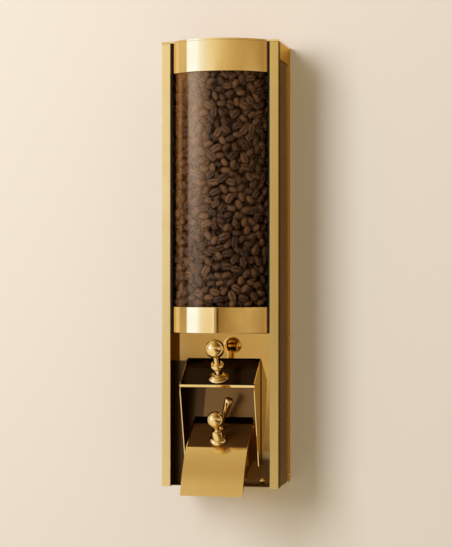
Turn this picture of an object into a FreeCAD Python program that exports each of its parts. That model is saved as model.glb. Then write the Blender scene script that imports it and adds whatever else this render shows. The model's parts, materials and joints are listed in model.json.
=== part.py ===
"""Wall-hung gravity bin for coffee beans: bowed glass hopper, shut-off slide, pouring flap.

Millimetres. X is to the right as seen from the front, Y runs into the wall and Z is up.
The wall face of the back tray is y = 0, and z = 0 is half way up the body.
"""
import FreeCAD
import Part
import Sketcher
import math
import os
import types

DOC = FreeCAD.newDocument("GravityBin")
SHEET = DOC.addObject("Spreadsheet::Sheet", "Sizes")
SUBPARTS = []

# Driving sizes, one cell of the sheet each
SIZES = {
    # Body
    "body_width": 132.0,
    "body_depth": 88.0,
    "body_height": 495.0,
    "sheet": 1.2,
    "seat_gap": 0.1,
    "pin_gap": 0.05,
    "move_gap": 0.3,
    "cut_over": 2.0,
    # Frame of posts, stiles and rails
    "post_face": 10.0,
    "post_side": 12.9,
    "post_return": 27.0,
    "stile_width": 15.8,
    "stile_setback": 8.0,
    "rail_height": 19.0,
    "tray_flange": 18.0,
    "side_panel_thick": 1.5,
    "side_panel_lap": 4.0,
    # Wall holes
    "wall_hole_across": 80.0,
    "wall_hole_rise": 400.0,
    "wall_hole_radius": 2.75,
    # Bowed front
    "bow_depth": 26.0,
    "band_setback": 1.5,
    "band_thick": 1.5,
    "upper_band_height": 34.0,
    "lower_band_gap": 1.5,
    "lower_band_height": 28.5,
    "window_thick": 2.0,
    "window_lap_down": 26.0,
    "window_lap_up": 20.0,
    "seal_width": 2.0,
    "seal_depth": 8.0,
    "seal_setback": 1.0,
    # Hopper
    "liner_thick": 0.8,
    "liner_front": 14.0,
    "liner_rear_gap": 2.0,
    "liner_lap": 9.0,
    "liner_top_gap": 7.0,
    "funnel_rise": 29.0,
    "funnel_setback": 2.0,
    "throat_depth": 40.0,
    "throat_inset": 2.0,
    "shelf_tilt": 31.0,
    # Mirror panel and bottom plate
    "panel_recess": 24.0,
    "panel_rise": 29.0,
    "panel_foot_flange": 12.0,
    "outlet_top": 76.5,
    "bottom_upstand": 14.0,
    "panel_screw_inset": 12.3,
    "panel_screw_rise": 5.8,
    "panel_screw_head": 3.25,
    "panel_screw_head_height": 2.4,
    "panel_screw_shank": 1.6,
    "panel_screw_length": 6.0,
    # Side screws
    "side_screw_setback": 10.4,
    "side_screw_low": 8.4,
    "side_screw_high": 164.5,
    "side_screw_head": 2.4,
    "side_screw_head_height": 1.8,
    "side_screw_shank": 1.5,
    "side_screw_length": 5.0,
    # Chute behind the panel
    "chute_tilt": 52.0,
    "chute_foot": 54.0,
    "chute_depth": 46.0,
    # Shut-off slide, its height above the outlet, the rest down its slope from the panel's face
    "slide_tilt": 33.2,
    "slide_rise": 64.5,
    "slide_thick": 1.5,
    "slide_front": 46.6,
    "slide_tail": 52.0,
    "hem_depth": 2.0,
    "hem_drop": 3.2,
    "hem_rise": 0.3,
    "guide_tail": 50.0,
    "guide_head": 3.5,
    "slide_knob_down": 34.6,
    # Hood cheeks
    "cheek_inset": 13.8,
    "cheek_rim": 0.8,
    "cheek_ledge": 3.0,
    "cheek_nose_out": 39.5,
    "cheek_nose_drop": 33.5,
    "cheek_toe_out": 12.0,
    "cheek_toe_height": 23.0,
    # Slide knob, heights measured from the slide
    "slide_base": 11.5,
    "slide_base_edge": 1.2,
    "slide_base_round": 9.0,
    "slide_base_height": 4.8,
    "slide_stem": 4.9,
    "slide_collar_foot": 13.3,
    "slide_collar_height": 5.5,
    "slide_collar": 6.4,
    "slide_collar_round": 4.0,
    "slide_neck": 4.2,
    "slide_ball": 10.6,
    "slide_ball_height": 38.8,
    # Screws that hold the two knobs from below
    "knob_screw_shank": 2.0,
    "knob_screw_head": 3.5,
    "knob_screw_head_height": 1.6,
    "knob_screw_reach": 14.0,
    # Outlet tray and lip
    "tray_inset": 21.5,
    "tray_tilt": 34.0,
    "crest_out": 41.0,
    "crest_height": 45.9,
    "crest_stop": 1.5,
    "tray_back_height": 51.5,
    "lip_out": 71.5,
    "lip_below": 4.3,
    "lip_radius": 140.0,
    "skirt_back_height": 28.0,
    "skirt_radius": 120.0,
    # Flap, measured down its slope from its pin
    "flap_pin_out": 4.5,
    "flap_pin_drop": 3.3,
    "flap_pin_radius": 1.5,
    "flap_pin_end": 0.8,
    "flap_knuckle": 2.9,
    "flap_thick": 1.5,
    "flap_length": 40.2,
    "flap_side_gap": 0.4,
    # Flap knob and lever, heights measured from the flap
    "flap_knob_down": 30.0,
    "rosette": 10.0,
    "rosette_edge": 1.5,
    "rosette_round": 4.5,
    "rosette_crown": 7.4,
    "rosette_height": 5.5,
    "flap_skirt_foot": 6.9,
    "flap_skirt_top": 5.4,
    "flap_skirt_height": 8.0,
    "flap_neck_foot": 1.0,
    "flap_neck": 2.75,
    "flap_ball": 9.3,
    "flap_ball_height": 29.8,
    "lever_down": 9.0,
    "lever_left": 1.6,
    "lever_tilt": 19.5,
    "lever_length": 45.2,
    "lever_waist": 20.0,
    "lever_foot": 2.2,
    "lever_tip": 4.8,
    "lever_boss": 5.0,
    "lever_boss_height": 3.0,
    # Fill lid and its hinge
    "fill_lid_thick": 2.0,
    "lid_rib_drop": 5.0,
    "lid_rib_inset": 1.7,
    "lid_rib_front": 10.0,
    "lid_rib_rear": 8.0,
    "lid_rail_gap": 0.3,
    "hinge_setback": 5.0,
    "hinge_knuckle": 2.4,
    "hinge_pin_radius": 1.4,
    "hinge_half_length": 30.0,
    "hinge_middle": 10.0,
    "hinge_leaf_thick": 1.0,
    "hinge_leaf_depth": 13.0,
    "hinge_rail_edge": 0.6,
    "rivet_head": 1.9,
    "rivet_head_height": 0.7,
    "rivet_shank": 1.0,
    "rivet_across": 22.0,
    "rivet_setback": 8.5,
}

# Straight side of a screw or rivet head, as a share of its height
HEAD_SIDE_SHARE = 0.4


class Measure:
    """A size together with the sheet expression that gives it."""

    def __init__(self, value, text):
        self.value, self.text = value, text

    def joined(self, other, sign, value):
        return Measure(value, f"({self.text} {sign} {other.text})")

    def __add__(self, other):
        other = measure(other)
        return self.joined(other, "+", self.value + other.value)

    def __sub__(self, other):
        other = measure(other)
        return self.joined(other, "-", self.value - other.value)

    def __mul__(self, other):
        other = measure(other)
        return self.joined(other, "*", self.value * other.value)

    def __truediv__(self, other):
        other = measure(other)
        return self.joined(other, "/", self.value / other.value)

    def __neg__(self):
        return Measure(-self.value, f"(-{self.text})")


def measure(thing):
    """A Measure as it is, or a plain count or share made into one."""
    return thing if isinstance(thing, Measure) else Measure(float(thing), f"({thing})")


def sine(angle):
    return Measure(math.sin(math.radians(angle.value)), f"sin({angle.text})")


def cosine(angle):
    return Measure(math.cos(math.radians(angle.value)), f"cos({angle.text})")


def tangent(angle):
    return Measure(math.tan(math.radians(angle.value)), f"tan({angle.text})")


def root(square):
    return Measure(math.sqrt(square.value), f"sqrt({square.text})")


def side_left(long_side, short_side):
    """The third side of a right triangle."""
    return root(long_side * long_side - short_side * short_side)


def fill_sheet():
    """Writes each size into its own cell and gives back the sizes by name."""
    sizes = {}
    for row, (alias, number) in enumerate(SIZES.items(), start=1):
        SHEET.set(f"A{row}", alias)
        SHEET.set(f"B{row}", str(number))
        SHEET.setAlias(f"B{row}", alias)
        sizes[alias] = Measure(number, f"Sizes.{alias}")
    DOC.recompute()
    return types.SimpleNamespace(**sizes)


S = fill_sheet()
NONE = Measure(0.0, "0")
QUARTER_TURN = Measure(90.0, "90")
HALF = S.body_width / 2


def up(height):
    """A height above the body's foot, as z."""
    return height - S.body_height / 2


def back(depth):
    """A depth behind the posts' front face, as y."""
    return depth - S.body_depth


class Disc:
    """A full circle in a sketch."""

    def __init__(self, across, along, radius):
        self.across, self.along, self.radius = across, along, radius


def bind(holder, path, size):
    holder.setExpression(path, size.text)


def pin_point(drawing, geometry, position, corner):
    """Fixes a sketch point by its two distances from the origin."""
    for kind, size in zip(("DistanceX", "DistanceY"), corner):
        rule = Sketcher.Constraint(kind, -1, 1, geometry, position, size.value)
        bind(drawing, f"Constraints[{drawing.addConstraint(rule)}]", size)


def pin_radius(drawing, geometry, radius):
    rule = Sketcher.Constraint("Radius", geometry, radius.value)
    bind(drawing, f"Constraints[{drawing.addConstraint(rule)}]", radius)


def arc_between(start, end, radius, turn):
    """The short arc from start to end; a turn of 1 runs anticlockwise, -1 clockwise."""
    chord = end.sub(start)
    left = FreeCAD.Vector(-chord.y, chord.x, 0).normalize()
    reach = math.sqrt(max(radius * radius - chord.Length ** 2 / 4, 0))
    centre = start.add(chord.multiply(1 / 2)).add(left.multiply(turn * reach))
    first, last = (start, end) if turn > 0 else (end, start)
    angles = [math.atan2(point.y - centre.y, point.x - centre.x) for point in (first, last)]
    circle = Part.Circle(centre, FreeCAD.Vector(0, 0, 1), radius)
    return Part.ArcOfCircle(circle, *angles)


def draw_outline(drawing, corners):
    """Closed outline; a corner with a radius and a turn starts an arc to the next."""
    points = [FreeCAD.Vector(corner[0].value, corner[1].value, 0) for corner in corners]
    edges = []
    for index, corner in enumerate(corners):
        start, end = points[index], points[(index + 1) % len(points)]
        if len(corner) == 2:
            geometry = drawing.addGeometry(Part.LineSegment(start, end), False)
            edges.append((geometry, 1, 2))
            continue
        radius, turn = corner[2:]
        arc = arc_between(start, FreeCAD.Vector(end), radius.value, turn)
        geometry = drawing.addGeometry(arc, False)
        edges.append((geometry, 1, 2) if turn > 0 else (geometry, 2, 1))
        pin_radius(drawing, geometry, radius)
    for index, (geometry, _, tail) in enumerate(edges):
        following, head, _ = edges[(index + 1) % len(edges)]
        drawing.addConstraint(Sketcher.Constraint("Coincident", geometry, tail, following, head))
    for (geometry, head, _), corner in zip(edges, corners):
        pin_point(drawing, geometry, head, corner[:2])


def draw_disc(drawing, disc):
    centre = FreeCAD.Vector(disc.across.value, disc.along.value, 0)
    circle = Part.Circle(centre, FreeCAD.Vector(0, 0, 1), disc.radius.value)
    geometry = drawing.addGeometry(circle, False)
    pin_radius(drawing, geometry, disc.radius)
    pin_point(drawing, geometry, 3, (disc.across, disc.along))


class Piece:
    """One sub-part made as a PartDesign body on its own origin planes.

    A "flat" sketch is seen from above (x, y), a "front" one from the front (x, z) and a
    "side" one from the right (y, z).
    """

    ROLES = {"flat": "XY_Plane", "front": "XZ_Plane", "side": "YZ_Plane"}

    def __init__(self, label, handed_out=True):
        self.body = DOC.addObject("PartDesign::Body", label)
        if handed_out:
            SUBPARTS.append(self.body)

    def sketch(self, face, at, shapes):
        planes = self.body.Origin.OriginFeatures
        drawing = self.body.newObject("Sketcher::SketchObject", f"{self.body.Label}_{face}")
        drawing.AttachmentSupport = [(next(p for p in planes if p.Role == self.ROLES[face]), "")]
        drawing.MapMode = "FlatFace"
        bind(drawing, "AttachmentOffset.Base.z", -at if face == "front" else at)
        for shape in shapes:
            if isinstance(shape, Disc):
                draw_disc(drawing, shape)
            else:
                draw_outline(drawing, shape)
        return drawing

    def feature(self, kind, drawing, length):
        made = self.body.newObject(f"PartDesign::{kind}", f"{self.body.Label}_{kind.lower()}")
        made.Profile = drawing
        bind(made, "Length", length)
        return made

    def pad(self, face, low, high, *shapes):
        start = high if face == "front" else low
        self.feature("Pad", self.sketch(face, start, shapes), high - low)
        return self

    def cut(self, face, low, high, *shapes):
        start = low if face == "front" else high
        self.feature("Pocket", self.sketch(face, start, shapes), high - low)
        return self

    def turn(self, at, foot, outline, lean=None, across=NONE, kind="Revolution"):
        """Turns a half outline (radius, height) round the upright through its foot."""
        drawing = self.sketch("front", at, [outline])
        if lean is not None:
            turned = FreeCAD.Rotation(FreeCAD.Vector(0, 0, -1), lean.value)
            drawing.AttachmentOffset = FreeCAD.Placement(FreeCAD.Vector(), turned)
            bind(drawing, "AttachmentOffset.Rotation.Angle", lean)
        for letter, size in zip("xyz", (across, foot, -at)):
            bind(drawing, f"AttachmentOffset.Base.{letter}", size)
        made = self.body.newObject(f"PartDesign::{kind}", f"{self.body.Label}_turned")
        made.Profile = drawing
        made.ReferenceAxis = (drawing, ["V_Axis"])
        return self

    def stand(self, place, tilt):
        """Puts the body's frame at (y, z), tipped forward by the tilt."""
        set_frame(self.body, (NONE, *place), tilt, FreeCAD.Vector(1, 0, 0))
        return self


def set_frame(thing, place, angle=None, axis=None):
    if angle is not None:
        thing.Placement.Rotation = FreeCAD.Rotation(axis, angle.value)
        bind(thing, "Placement.Rotation.Angle", angle)
    for letter, size in zip("xyz", place):
        bind(thing, f"Placement.Base.{letter}", size)


def rectangle(low_u, high_u, low_v, high_v):
    return [(low_u, low_v), (high_u, low_v), (high_u, high_v), (low_u, high_v)]


def block(name, xs, ys, zs):
    """A plain box from its two limits along each axis."""
    made = DOC.addObject("Part::Box", name)
    for path, (low, high) in zip(("Length", "Width", "Height"), (xs, ys, zs)):
        bind(made, path, high - low)
    set_frame(made, (xs[0], ys[0], zs[0]))
    return made


def rod(name, radius, height, place):
    """An upright cylinder on its foot's centre."""
    made = DOC.addObject("Part::Cylinder", name)
    bind(made, "Radius", radius)
    bind(made, "Height", height)
    set_frame(made, place)
    return made


def combine(kind, name, shapes):
    made = DOC.addObject(f"Part::{kind}", name)
    made.Shapes = shapes
    return made


def take_away(name, base, tool):
    made = DOC.addObject("Part::Cut", name)
    made.Base, made.Tool = base, tool
    return made


def both_sides():
    """The side's name and its sign along X."""
    return (("left", -1), ("right", 1))


def span(sign, low, high):
    """Two distances from the middle plane, put on one side in rising order."""
    ends = (low * sign, high * sign)
    return ends if sign > 0 else ends[::-1]


# Places that several pieces share
INNER = HALF - S.sheet
POST_INNER = HALF - S.post_face
FRAME_TOP = S.body_height - S.fill_lid_thick
CHORD = POST_INNER - S.seal_width
BOW_RISE = S.bow_depth + S.band_setback
BOW_RADIUS = (CHORD * CHORD + BOW_RISE * BOW_RISE) / (BOW_RISE * 2)
BOW_CENTRE = back(BOW_RADIUS - S.bow_depth)
UPPER_BAND_FOOT = FRAME_TOP - S.upper_band_height
SLIDE_HEIGHT = S.outlet_top + S.slide_rise
PANEL_TOP = SLIDE_HEIGHT + S.panel_rise
PANEL_SCREW_ACROSS = POST_INNER - S.panel_screw_inset
LOWER_BAND_FOOT = PANEL_TOP + S.lower_band_gap
LOWER_BAND_TOP = LOWER_BAND_FOOT + S.lower_band_height
FUNNEL_TOP = PANEL_TOP + S.funnel_rise
CHEEK_HALF = POST_INNER - S.cheek_inset
CHUTE_HALF = CHEEK_HALF - S.cheek_ledge - S.sheet
TRAY_HALF = POST_INNER - S.tray_inset
WINDOW_RADIUS = BOW_RADIUS - S.band_thick - S.seat_gap
STILE_REAR = S.body_depth - S.stile_setback
STILE_FRONT = STILE_REAR - S.stile_width
PANEL_REAR = S.panel_recess + S.sheet
LINER_REAR = S.body_depth - S.sheet - S.liner_rear_gap
FUNNEL_FRONT = PANEL_REAR + S.funnel_setback
FUNNEL_REAR = FUNNEL_FRONT + S.throat_depth
SCREW_DEPTH = S.body_depth - S.side_screw_setback
SLIDE_HALF_WIDTH = CHEEK_HALF - S.sheet - S.move_gap
CHEEK_INNER = CHEEK_HALF - S.sheet
SLIDE_SIN, SLIDE_COS = sine(S.slide_tilt), cosine(S.slide_tilt)
SLIDE_ORIGIN = (back(S.panel_recess), up(SLIDE_HEIGHT))
TRAY_INNER = TRAY_HALF - S.sheet
TRAY_SIN, TRAY_COS = sine(S.tray_tilt), cosine(S.tray_tilt)
FLAP_PIN_DEPTH = S.panel_recess - S.flap_pin_out
FLAP_PIN_HEIGHT = (S.crest_height + (FLAP_PIN_DEPTH + S.crest_out - S.panel_recess)
                   * tangent(S.tray_tilt) - S.flap_pin_drop / TRAY_COS)
FLAP_PIN = (back(FLAP_PIN_DEPTH), up(FLAP_PIN_HEIGHT))
FLAP_SEAT = S.flap_knuckle - S.flap_thick
LID_REAR = S.body_depth - S.hinge_setback - S.lid_rail_gap * 2
HINGE = (back(S.body_depth - S.hinge_setback),
         up(S.body_height + S.hinge_knuckle + S.move_gap))


def slide_point(down, off):
    """A point down the slide's slope and off its upper face, as (y, z)."""
    return (SLIDE_ORIGIN[0] - down * SLIDE_COS - off * SLIDE_SIN,
            SLIDE_ORIGIN[1] - down * SLIDE_SIN + off * SLIDE_COS)


def under_slide(depth, off):
    """The height of the slide's slope at a depth, lifted off its upper face."""
    return SLIDE_HEIGHT + (depth - S.panel_recess) * tangent(S.slide_tilt) + off / SLIDE_COS


def corner(depth, height):
    return (back(depth), up(height))


# Frame
def frame_side(name, sign):
    """Post, stile, top rail and lacquered panel of one side."""
    foot, top = up(NONE), up(FRAME_TOP)

    def x(distance):
        return distance * sign

    post = Piece(f"{name}_post")
    post.pad("flat", foot, top, [
        (x(HALF), back(S.post_side)), (x(HALF), back(NONE)), (x(POST_INNER), back(NONE)),
        (x(POST_INNER), back(S.post_return)), (x(POST_INNER + S.sheet), back(S.post_return)),
        (x(POST_INNER + S.sheet), back(S.sheet)), (x(INNER), back(S.sheet)),
        (x(INNER), back(S.post_side))])
    stile = Piece(f"{name}_stile")
    stile.pad("side", *span(sign, INNER, HALF),
              rectangle(back(STILE_FRONT), back(STILE_REAR), foot, top))
    holes = [Disc(back(SCREW_DEPTH), up(height), S.side_screw_shank + S.seat_gap)
             for height in (S.side_screw_low, S.side_screw_high)]
    stile.cut("side", *span(sign, INNER - S.cut_over, HALF + S.cut_over), *holes)
    rail = Piece(f"{name}_top_rail")
    rail.pad("side", *span(sign, INNER, HALF),
             rectangle(back(S.post_side), back(STILE_FRONT), up(FRAME_TOP - S.rail_height), top))
    panel = Piece(f"{name}_side_panel")
    panel.pad("side", *span(sign, INNER - S.side_panel_thick, INNER), rectangle(
        back(S.post_side - S.side_panel_lap), back(STILE_FRONT + S.side_panel_lap),
        foot, up(FRAME_TOP - S.rail_height + S.side_panel_lap)))


def back_tray():
    """Wall plate with two side flanges that the casing is screwed to."""
    tray = Piece("back_tray")
    tray.pad("flat", up(NONE), up(FRAME_TOP), [
        (-INNER, back(S.body_depth)), (-INNER, back(S.body_depth - S.tray_flange)),
        (S.sheet - INNER, back(S.body_depth - S.tray_flange)),
        (S.sheet - INNER, back(S.body_depth - S.sheet)),
        (INNER - S.sheet, back(S.body_depth - S.sheet)),
        (INNER - S.sheet, back(S.body_depth - S.tray_flange)),
        (INNER, back(S.body_depth - S.tray_flange)), (INNER, back(S.body_depth))])
    holes = [Disc(S.wall_hole_across / 2 * across, S.wall_hole_rise / 2 * rise,
                  S.wall_hole_radius) for across in (-1, 1) for rise in (-1, 1)]
    tray.cut("front", back(S.body_depth - S.sheet - S.cut_over), S.cut_over, *holes)
    screws = [Disc(back(SCREW_DEPTH), up(height), S.side_screw_shank + S.seat_gap)
              for height in (S.side_screw_low, S.side_screw_high)]
    tray.cut("side", -INNER - S.cut_over, INNER + S.cut_over, *screws)


def bottom_plate():
    """Closes the foot and carries the mirror panel's screws."""
    half = POST_INNER - S.seat_gap
    plate = Piece("bottom_plate")
    plate.pad("side", -half, half, [
        corner(PANEL_REAR, NONE), corner(S.body_depth - S.sheet - S.seat_gap, NONE),
        corner(S.body_depth - S.sheet - S.seat_gap, S.sheet),
        corner(PANEL_REAR + S.sheet, S.sheet), corner(PANEL_REAR + S.sheet, S.bottom_upstand),
        corner(PANEL_REAR, S.bottom_upstand)])
    plate.cut("front", back(S.panel_recess), back(PANEL_REAR + S.sheet + S.cut_over),
              *panel_screw_holes())


def panel_screw_holes():
    return [Disc(PANEL_SCREW_ACROSS * side, up(S.panel_screw_rise),
                 S.panel_screw_shank + S.seat_gap) for side in (-1, 1)]


def front_panel():
    """Mirror-polished panel with the slide's slot, the outlet and a foot flange."""
    panel = Piece("front_panel")
    panel.pad("side", -POST_INNER, POST_INNER, [
        corner(S.panel_recess - S.panel_foot_flange, NONE), corner(PANEL_REAR, NONE),
        corner(PANEL_REAR, PANEL_TOP), corner(S.panel_recess, PANEL_TOP),
        corner(S.panel_recess, S.sheet),
        corner(S.panel_recess - S.panel_foot_flange, S.sheet)])
    slot_foot = under_slide(S.panel_recess, -S.slide_thick - S.move_gap)
    slot_top = under_slide(PANEL_REAR, S.move_gap)
    floor_under = S.tray_back_height - S.sheet - S.seat_gap
    limits = (back(S.panel_recess - S.cut_over), back(PANEL_REAR + S.cut_over))
    panel.cut("front", *limits,
              rectangle(-CHEEK_INNER, CHEEK_INNER, up(slot_foot), up(slot_top)),
              rectangle(-TRAY_INNER, TRAY_INNER, up(floor_under), up(S.outlet_top)),
              *panel_screw_holes())


# Bowed front
def bowed_sheet(label, outer, thick, foot, top, half_width):
    """A strip of an upright tube, cut to a width."""
    place = (NONE, BOW_CENTRE, up(foot))
    tube = take_away(f"{label}_tube", rod(f"{label}_outside", outer, top - foot, place),
                     rod(f"{label}_inside", outer - thick, top - foot, place))
    window = block(f"{label}_width", (-half_width, half_width),
                   (back(-S.bow_depth - S.cut_over), BOW_CENTRE), (up(foot), up(top)))
    SUBPARTS.append(combine("MultiCommon", label, [tube, window]))


def bowed_front():
    bowed_sheet("upper_band", BOW_RADIUS, S.band_thick, UPPER_BAND_FOOT, FRAME_TOP, CHORD)
    bowed_sheet("lower_band", BOW_RADIUS, S.band_thick, LOWER_BAND_FOOT, LOWER_BAND_TOP, CHORD)
    bowed_sheet("window_pane", WINDOW_RADIUS, S.window_thick,
                LOWER_BAND_TOP - S.window_lap_down, UPPER_BAND_FOOT + S.window_lap_up,
                CHORD - S.seat_gap)
    for name, sign in both_sides():
        SUBPARTS.append(block(f"{name}_window_seal", span(sign, CHORD, POST_INNER),
                              (back(S.seal_setback), back(S.seal_setback + S.seal_depth)),
                              (up(LOWER_BAND_FOOT), up(FRAME_TOP))))


# Hopper
def hopper_liner():
    """Folded inner wall behind the posts, round three sides of the beans."""
    inner = POST_INNER + S.sheet
    outer = inner + S.liner_thick
    low, high = up(FUNNEL_TOP - S.liner_lap), up(FRAME_TOP - S.liner_top_gap)
    Piece("hopper_liner").pad("flat", low, high, [
        (-outer, back(S.liner_front)), (-inner, back(S.liner_front)),
        (-inner, back(LINER_REAR - S.liner_thick)), (inner, back(LINER_REAR - S.liner_thick)),
        (inner, back(S.liner_front)), (outer, back(S.liner_front)),
        (outer, back(LINER_REAR)), (-outer, back(LINER_REAR))])


def shelf_rear_height():
    """Upper face of the shelf at its rear edge, the plate lying on the panel's top."""
    fall = (FUNNEL_FRONT - PANEL_REAR) * tangent(S.shelf_tilt)
    return PANEL_TOP + S.sheet / cosine(S.shelf_tilt) - fall


def front_shelf():
    """Sloping plate that fills the bow below the beans, from the glass to the panel's top."""
    height = shelf_rear_height()
    reach = (FUNNEL_FRONT + S.bow_depth) / cosine(S.shelf_tilt)
    plank = DOC.addObject("Part::Box", "front_shelf_plank")
    for path, size in (("Length", CHORD * 2), ("Width", reach), ("Height", S.sheet)):
        bind(plank, path, size)
    sine_, cosine_ = sine(S.shelf_tilt), cosine(S.shelf_tilt)
    place = (-CHORD, back(FUNNEL_FRONT) - reach * cosine_ - S.sheet * sine_,
             up(height) + reach * sine_ - S.sheet * cosine_)
    set_frame(plank, place, -S.shelf_tilt, FreeCAD.Vector(1, 0, 0))
    glass = rod("front_shelf_glass", WINDOW_RADIUS - S.window_thick - S.seat_gap,
                S.body_height, (NONE, BOW_CENTRE, up(NONE)))
    behind = block("front_shelf_limit", (-CHORD, CHORD),
                   (back(-S.bow_depth - S.cut_over), back(FUNNEL_FRONT)),
                   (up(NONE), up(S.body_height)))
    SUBPARTS.append(combine("MultiCommon", "front_shelf", [plank, glass, behind]))


def frustum(half_top, half_foot, wall):
    """The funnel's inner or outer form: level above, on the slide's slope below."""
    front, rear = FUNNEL_FRONT + wall, LINER_REAR - S.liner_thick - S.seat_gap - wall
    throat_rear = FUNNEL_REAR - wall
    top, ends = up(FUNNEL_TOP), []
    for half, (near, far), levels in (
            (half_top, (front, rear), (top, top)),
            (half_foot, (front, throat_rear), (up(under_slide(front, S.move_gap)),
                                               up(under_slide(throat_rear, S.move_gap))))):
        spots = [(-half, near, levels[0]), (half, near, levels[0]),
                 (half, far, levels[1]), (-half, far, levels[1])]
        points = [FreeCAD.Vector(x.value, back(y).value, z.value) for x, y, z in spots]
        ends.append(Part.makePolygon(points + points[:1]))
    return Part.makeLoft(ends, True, True)


def hopper_funnel():
    """Sheet funnel from the liner down to the slide, its front open above the shelf."""
    outer_top = POST_INNER + S.sheet - S.seat_gap
    outer_foot = CHUTE_HALF + S.sheet - S.throat_inset
    shell = frustum(outer_top, outer_foot, NONE)
    shell = shell.cut(frustum(outer_top - S.sheet, outer_foot - S.sheet, S.sheet))
    corner_point = (-HALF, back(FUNNEL_FRONT) - S.cut_over, up(shelf_rear_height()))
    opening = Part.makeBox(S.body_width.value, (S.sheet + S.cut_over).value,
                           S.body_height.value,
                           FreeCAD.Vector(*[size.value for size in corner_point]))
    funnel = DOC.addObject("Part::Feature", "hopper_funnel")
    funnel.Shape = shell.cut(opening)
    funnel.Placement = FreeCAD.Placement()
    SUBPARTS.append(funnel)


def drop_chute():
    """Box behind the panel that leads the beans from the slide to the outlet."""
    slope, wall = tangent(S.chute_tilt), S.sheet / cosine(S.chute_tilt)
    rear = PANEL_REAR + S.chute_depth
    under = -S.slide_thick - S.move_gap
    half = CHUTE_HALF + S.sheet
    chute = Piece("drop_chute")
    chute.pad("side", -half, half, [
        corner(PANEL_REAR, S.chute_foot - wall),
        corner(rear, S.chute_foot - wall + S.chute_depth * slope),
        corner(rear, under_slide(rear, under)),
        corner(PANEL_REAR, under_slide(PANEL_REAR, under))])
    inside = rear - S.sheet
    chute.cut("side", -CHUTE_HALF, CHUTE_HALF, [
        corner(PANEL_REAR - S.cut_over, S.chute_foot - S.cut_over * slope),
        corner(inside, S.chute_foot + (S.chute_depth - S.sheet) * slope),
        corner(inside, S.body_height), corner(PANEL_REAR - S.cut_over, S.body_height)])


# Shut-off slide and its hood
def hood_cheek(name, sign):
    """Side of the hood, with a rim beside the slide and a ledge under it."""
    cheek = Piece(f"{name}_hood_cheek")
    top = under_slide(S.panel_recess, S.cheek_rim)
    front = S.slide_front - S.move_gap
    outline = [corner(S.panel_recess, top), slide_point(front, S.cheek_rim),
               slide_point(front, -S.hem_drop - S.move_gap),
               corner(S.panel_recess - S.cheek_nose_out, SLIDE_HEIGHT - S.cheek_nose_drop),
               corner(S.cheek_toe_out, S.cheek_toe_height),
               corner(S.panel_recess, S.cheek_toe_height)]
    cheek.pad("side", *span(sign, CHEEK_INNER, CHEEK_HALF), outline)
    upper, lower = -S.slide_thick - S.move_gap, -S.slide_thick - S.move_gap - S.sheet
    ledge = [corner(S.panel_recess, under_slide(S.panel_recess, upper)),
             slide_point(front, upper), slide_point(front, lower),
             corner(S.panel_recess, under_slide(S.panel_recess, lower))]
    cheek.pad("side", *span(sign, CHEEK_INNER - S.cheek_ledge, CHEEK_INNER), ledge)


def slide_guide(name, sign):
    """Channel that carries the slide's edge behind the panel."""
    low, high = -S.slide_thick - S.move_gap, S.move_gap
    inner = CHUTE_HALF + S.sheet
    guide = Piece(f"{name}_slide_guide")
    outline = [(inner * sign, low - S.sheet), (CHEEK_HALF * sign, low - S.sheet),
               (CHEEK_HALF * sign, high + S.sheet), (inner * sign, high + S.sheet),
               (inner * sign, high), (CHEEK_INNER * sign, high),
               (CHEEK_INNER * sign, low), (inner * sign, low)]
    guide.pad("front", S.guide_head, S.guide_tail, outline)
    guide.stand(SLIDE_ORIGIN, S.slide_tilt)


def slide_plate():
    """Mirror-polished shut-off plate with a square front hem."""
    plate = Piece("slide_plate")
    plate.pad("flat", -S.slide_thick, NONE,
              rectangle(-SLIDE_HALF_WIDTH, SLIDE_HALF_WIDTH, -S.slide_front, S.slide_tail))
    plate.pad("front", -S.slide_front - S.hem_depth, -S.slide_front,
              rectangle(-CHEEK_HALF, CHEEK_HALF, -S.hem_drop, S.hem_rise))
    plate.cut("flat", -S.slide_thick - S.cut_over, S.cut_over,
              Disc(NONE, -S.slide_knob_down, S.knob_screw_shank + S.seat_gap))
    plate.stand(SLIDE_ORIGIN, S.slide_tilt)


def knob_bore(piece, down, seat):
    """Blind hole for the screw that comes up from the seat."""
    tip = seat + S.knob_screw_reach + S.move_gap
    piece.cut("flat", seat, tip, Disc(NONE, -down, S.knob_screw_shank + S.pin_gap))


def slide_knob():
    """Turned ball knob with a collar, on a bell base, held by a screw from below."""
    at = -S.slide_knob_down
    base = Piece("slide_knob_base")
    base.turn(at, NONE, [
        (NONE, NONE), (S.slide_base, NONE),
        (S.slide_base, S.slide_base_edge, S.slide_base_round, 1),
        (S.slide_stem, S.slide_base_height), (NONE, S.slide_base_height)])
    knob_bore(base, S.slide_knob_down, -S.slide_thick)
    collar_top = S.slide_collar_foot + S.slide_collar_height
    ball_foot = S.slide_ball_height - side_left(S.slide_ball, S.slide_neck)
    knob = Piece("slide_knob")
    knob.turn(at, NONE, [
        (NONE, S.slide_base_height), (S.slide_stem, S.slide_base_height),
        (S.slide_stem, S.slide_collar_foot),
        (S.slide_collar, S.slide_collar_foot, S.slide_collar_round, 1),
        (S.slide_collar, collar_top), (S.slide_neck, collar_top),
        (S.slide_neck, ball_foot, S.slide_ball, 1),
        (NONE, S.slide_ball_height + S.slide_ball)])
    knob_bore(knob, S.slide_knob_down, -S.slide_thick)
    screw = knob_screw("slide_knob_screw", at, -S.slide_thick)
    for piece in (base, knob, screw):
        piece.stand(SLIDE_ORIGIN, S.slide_tilt)


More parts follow.
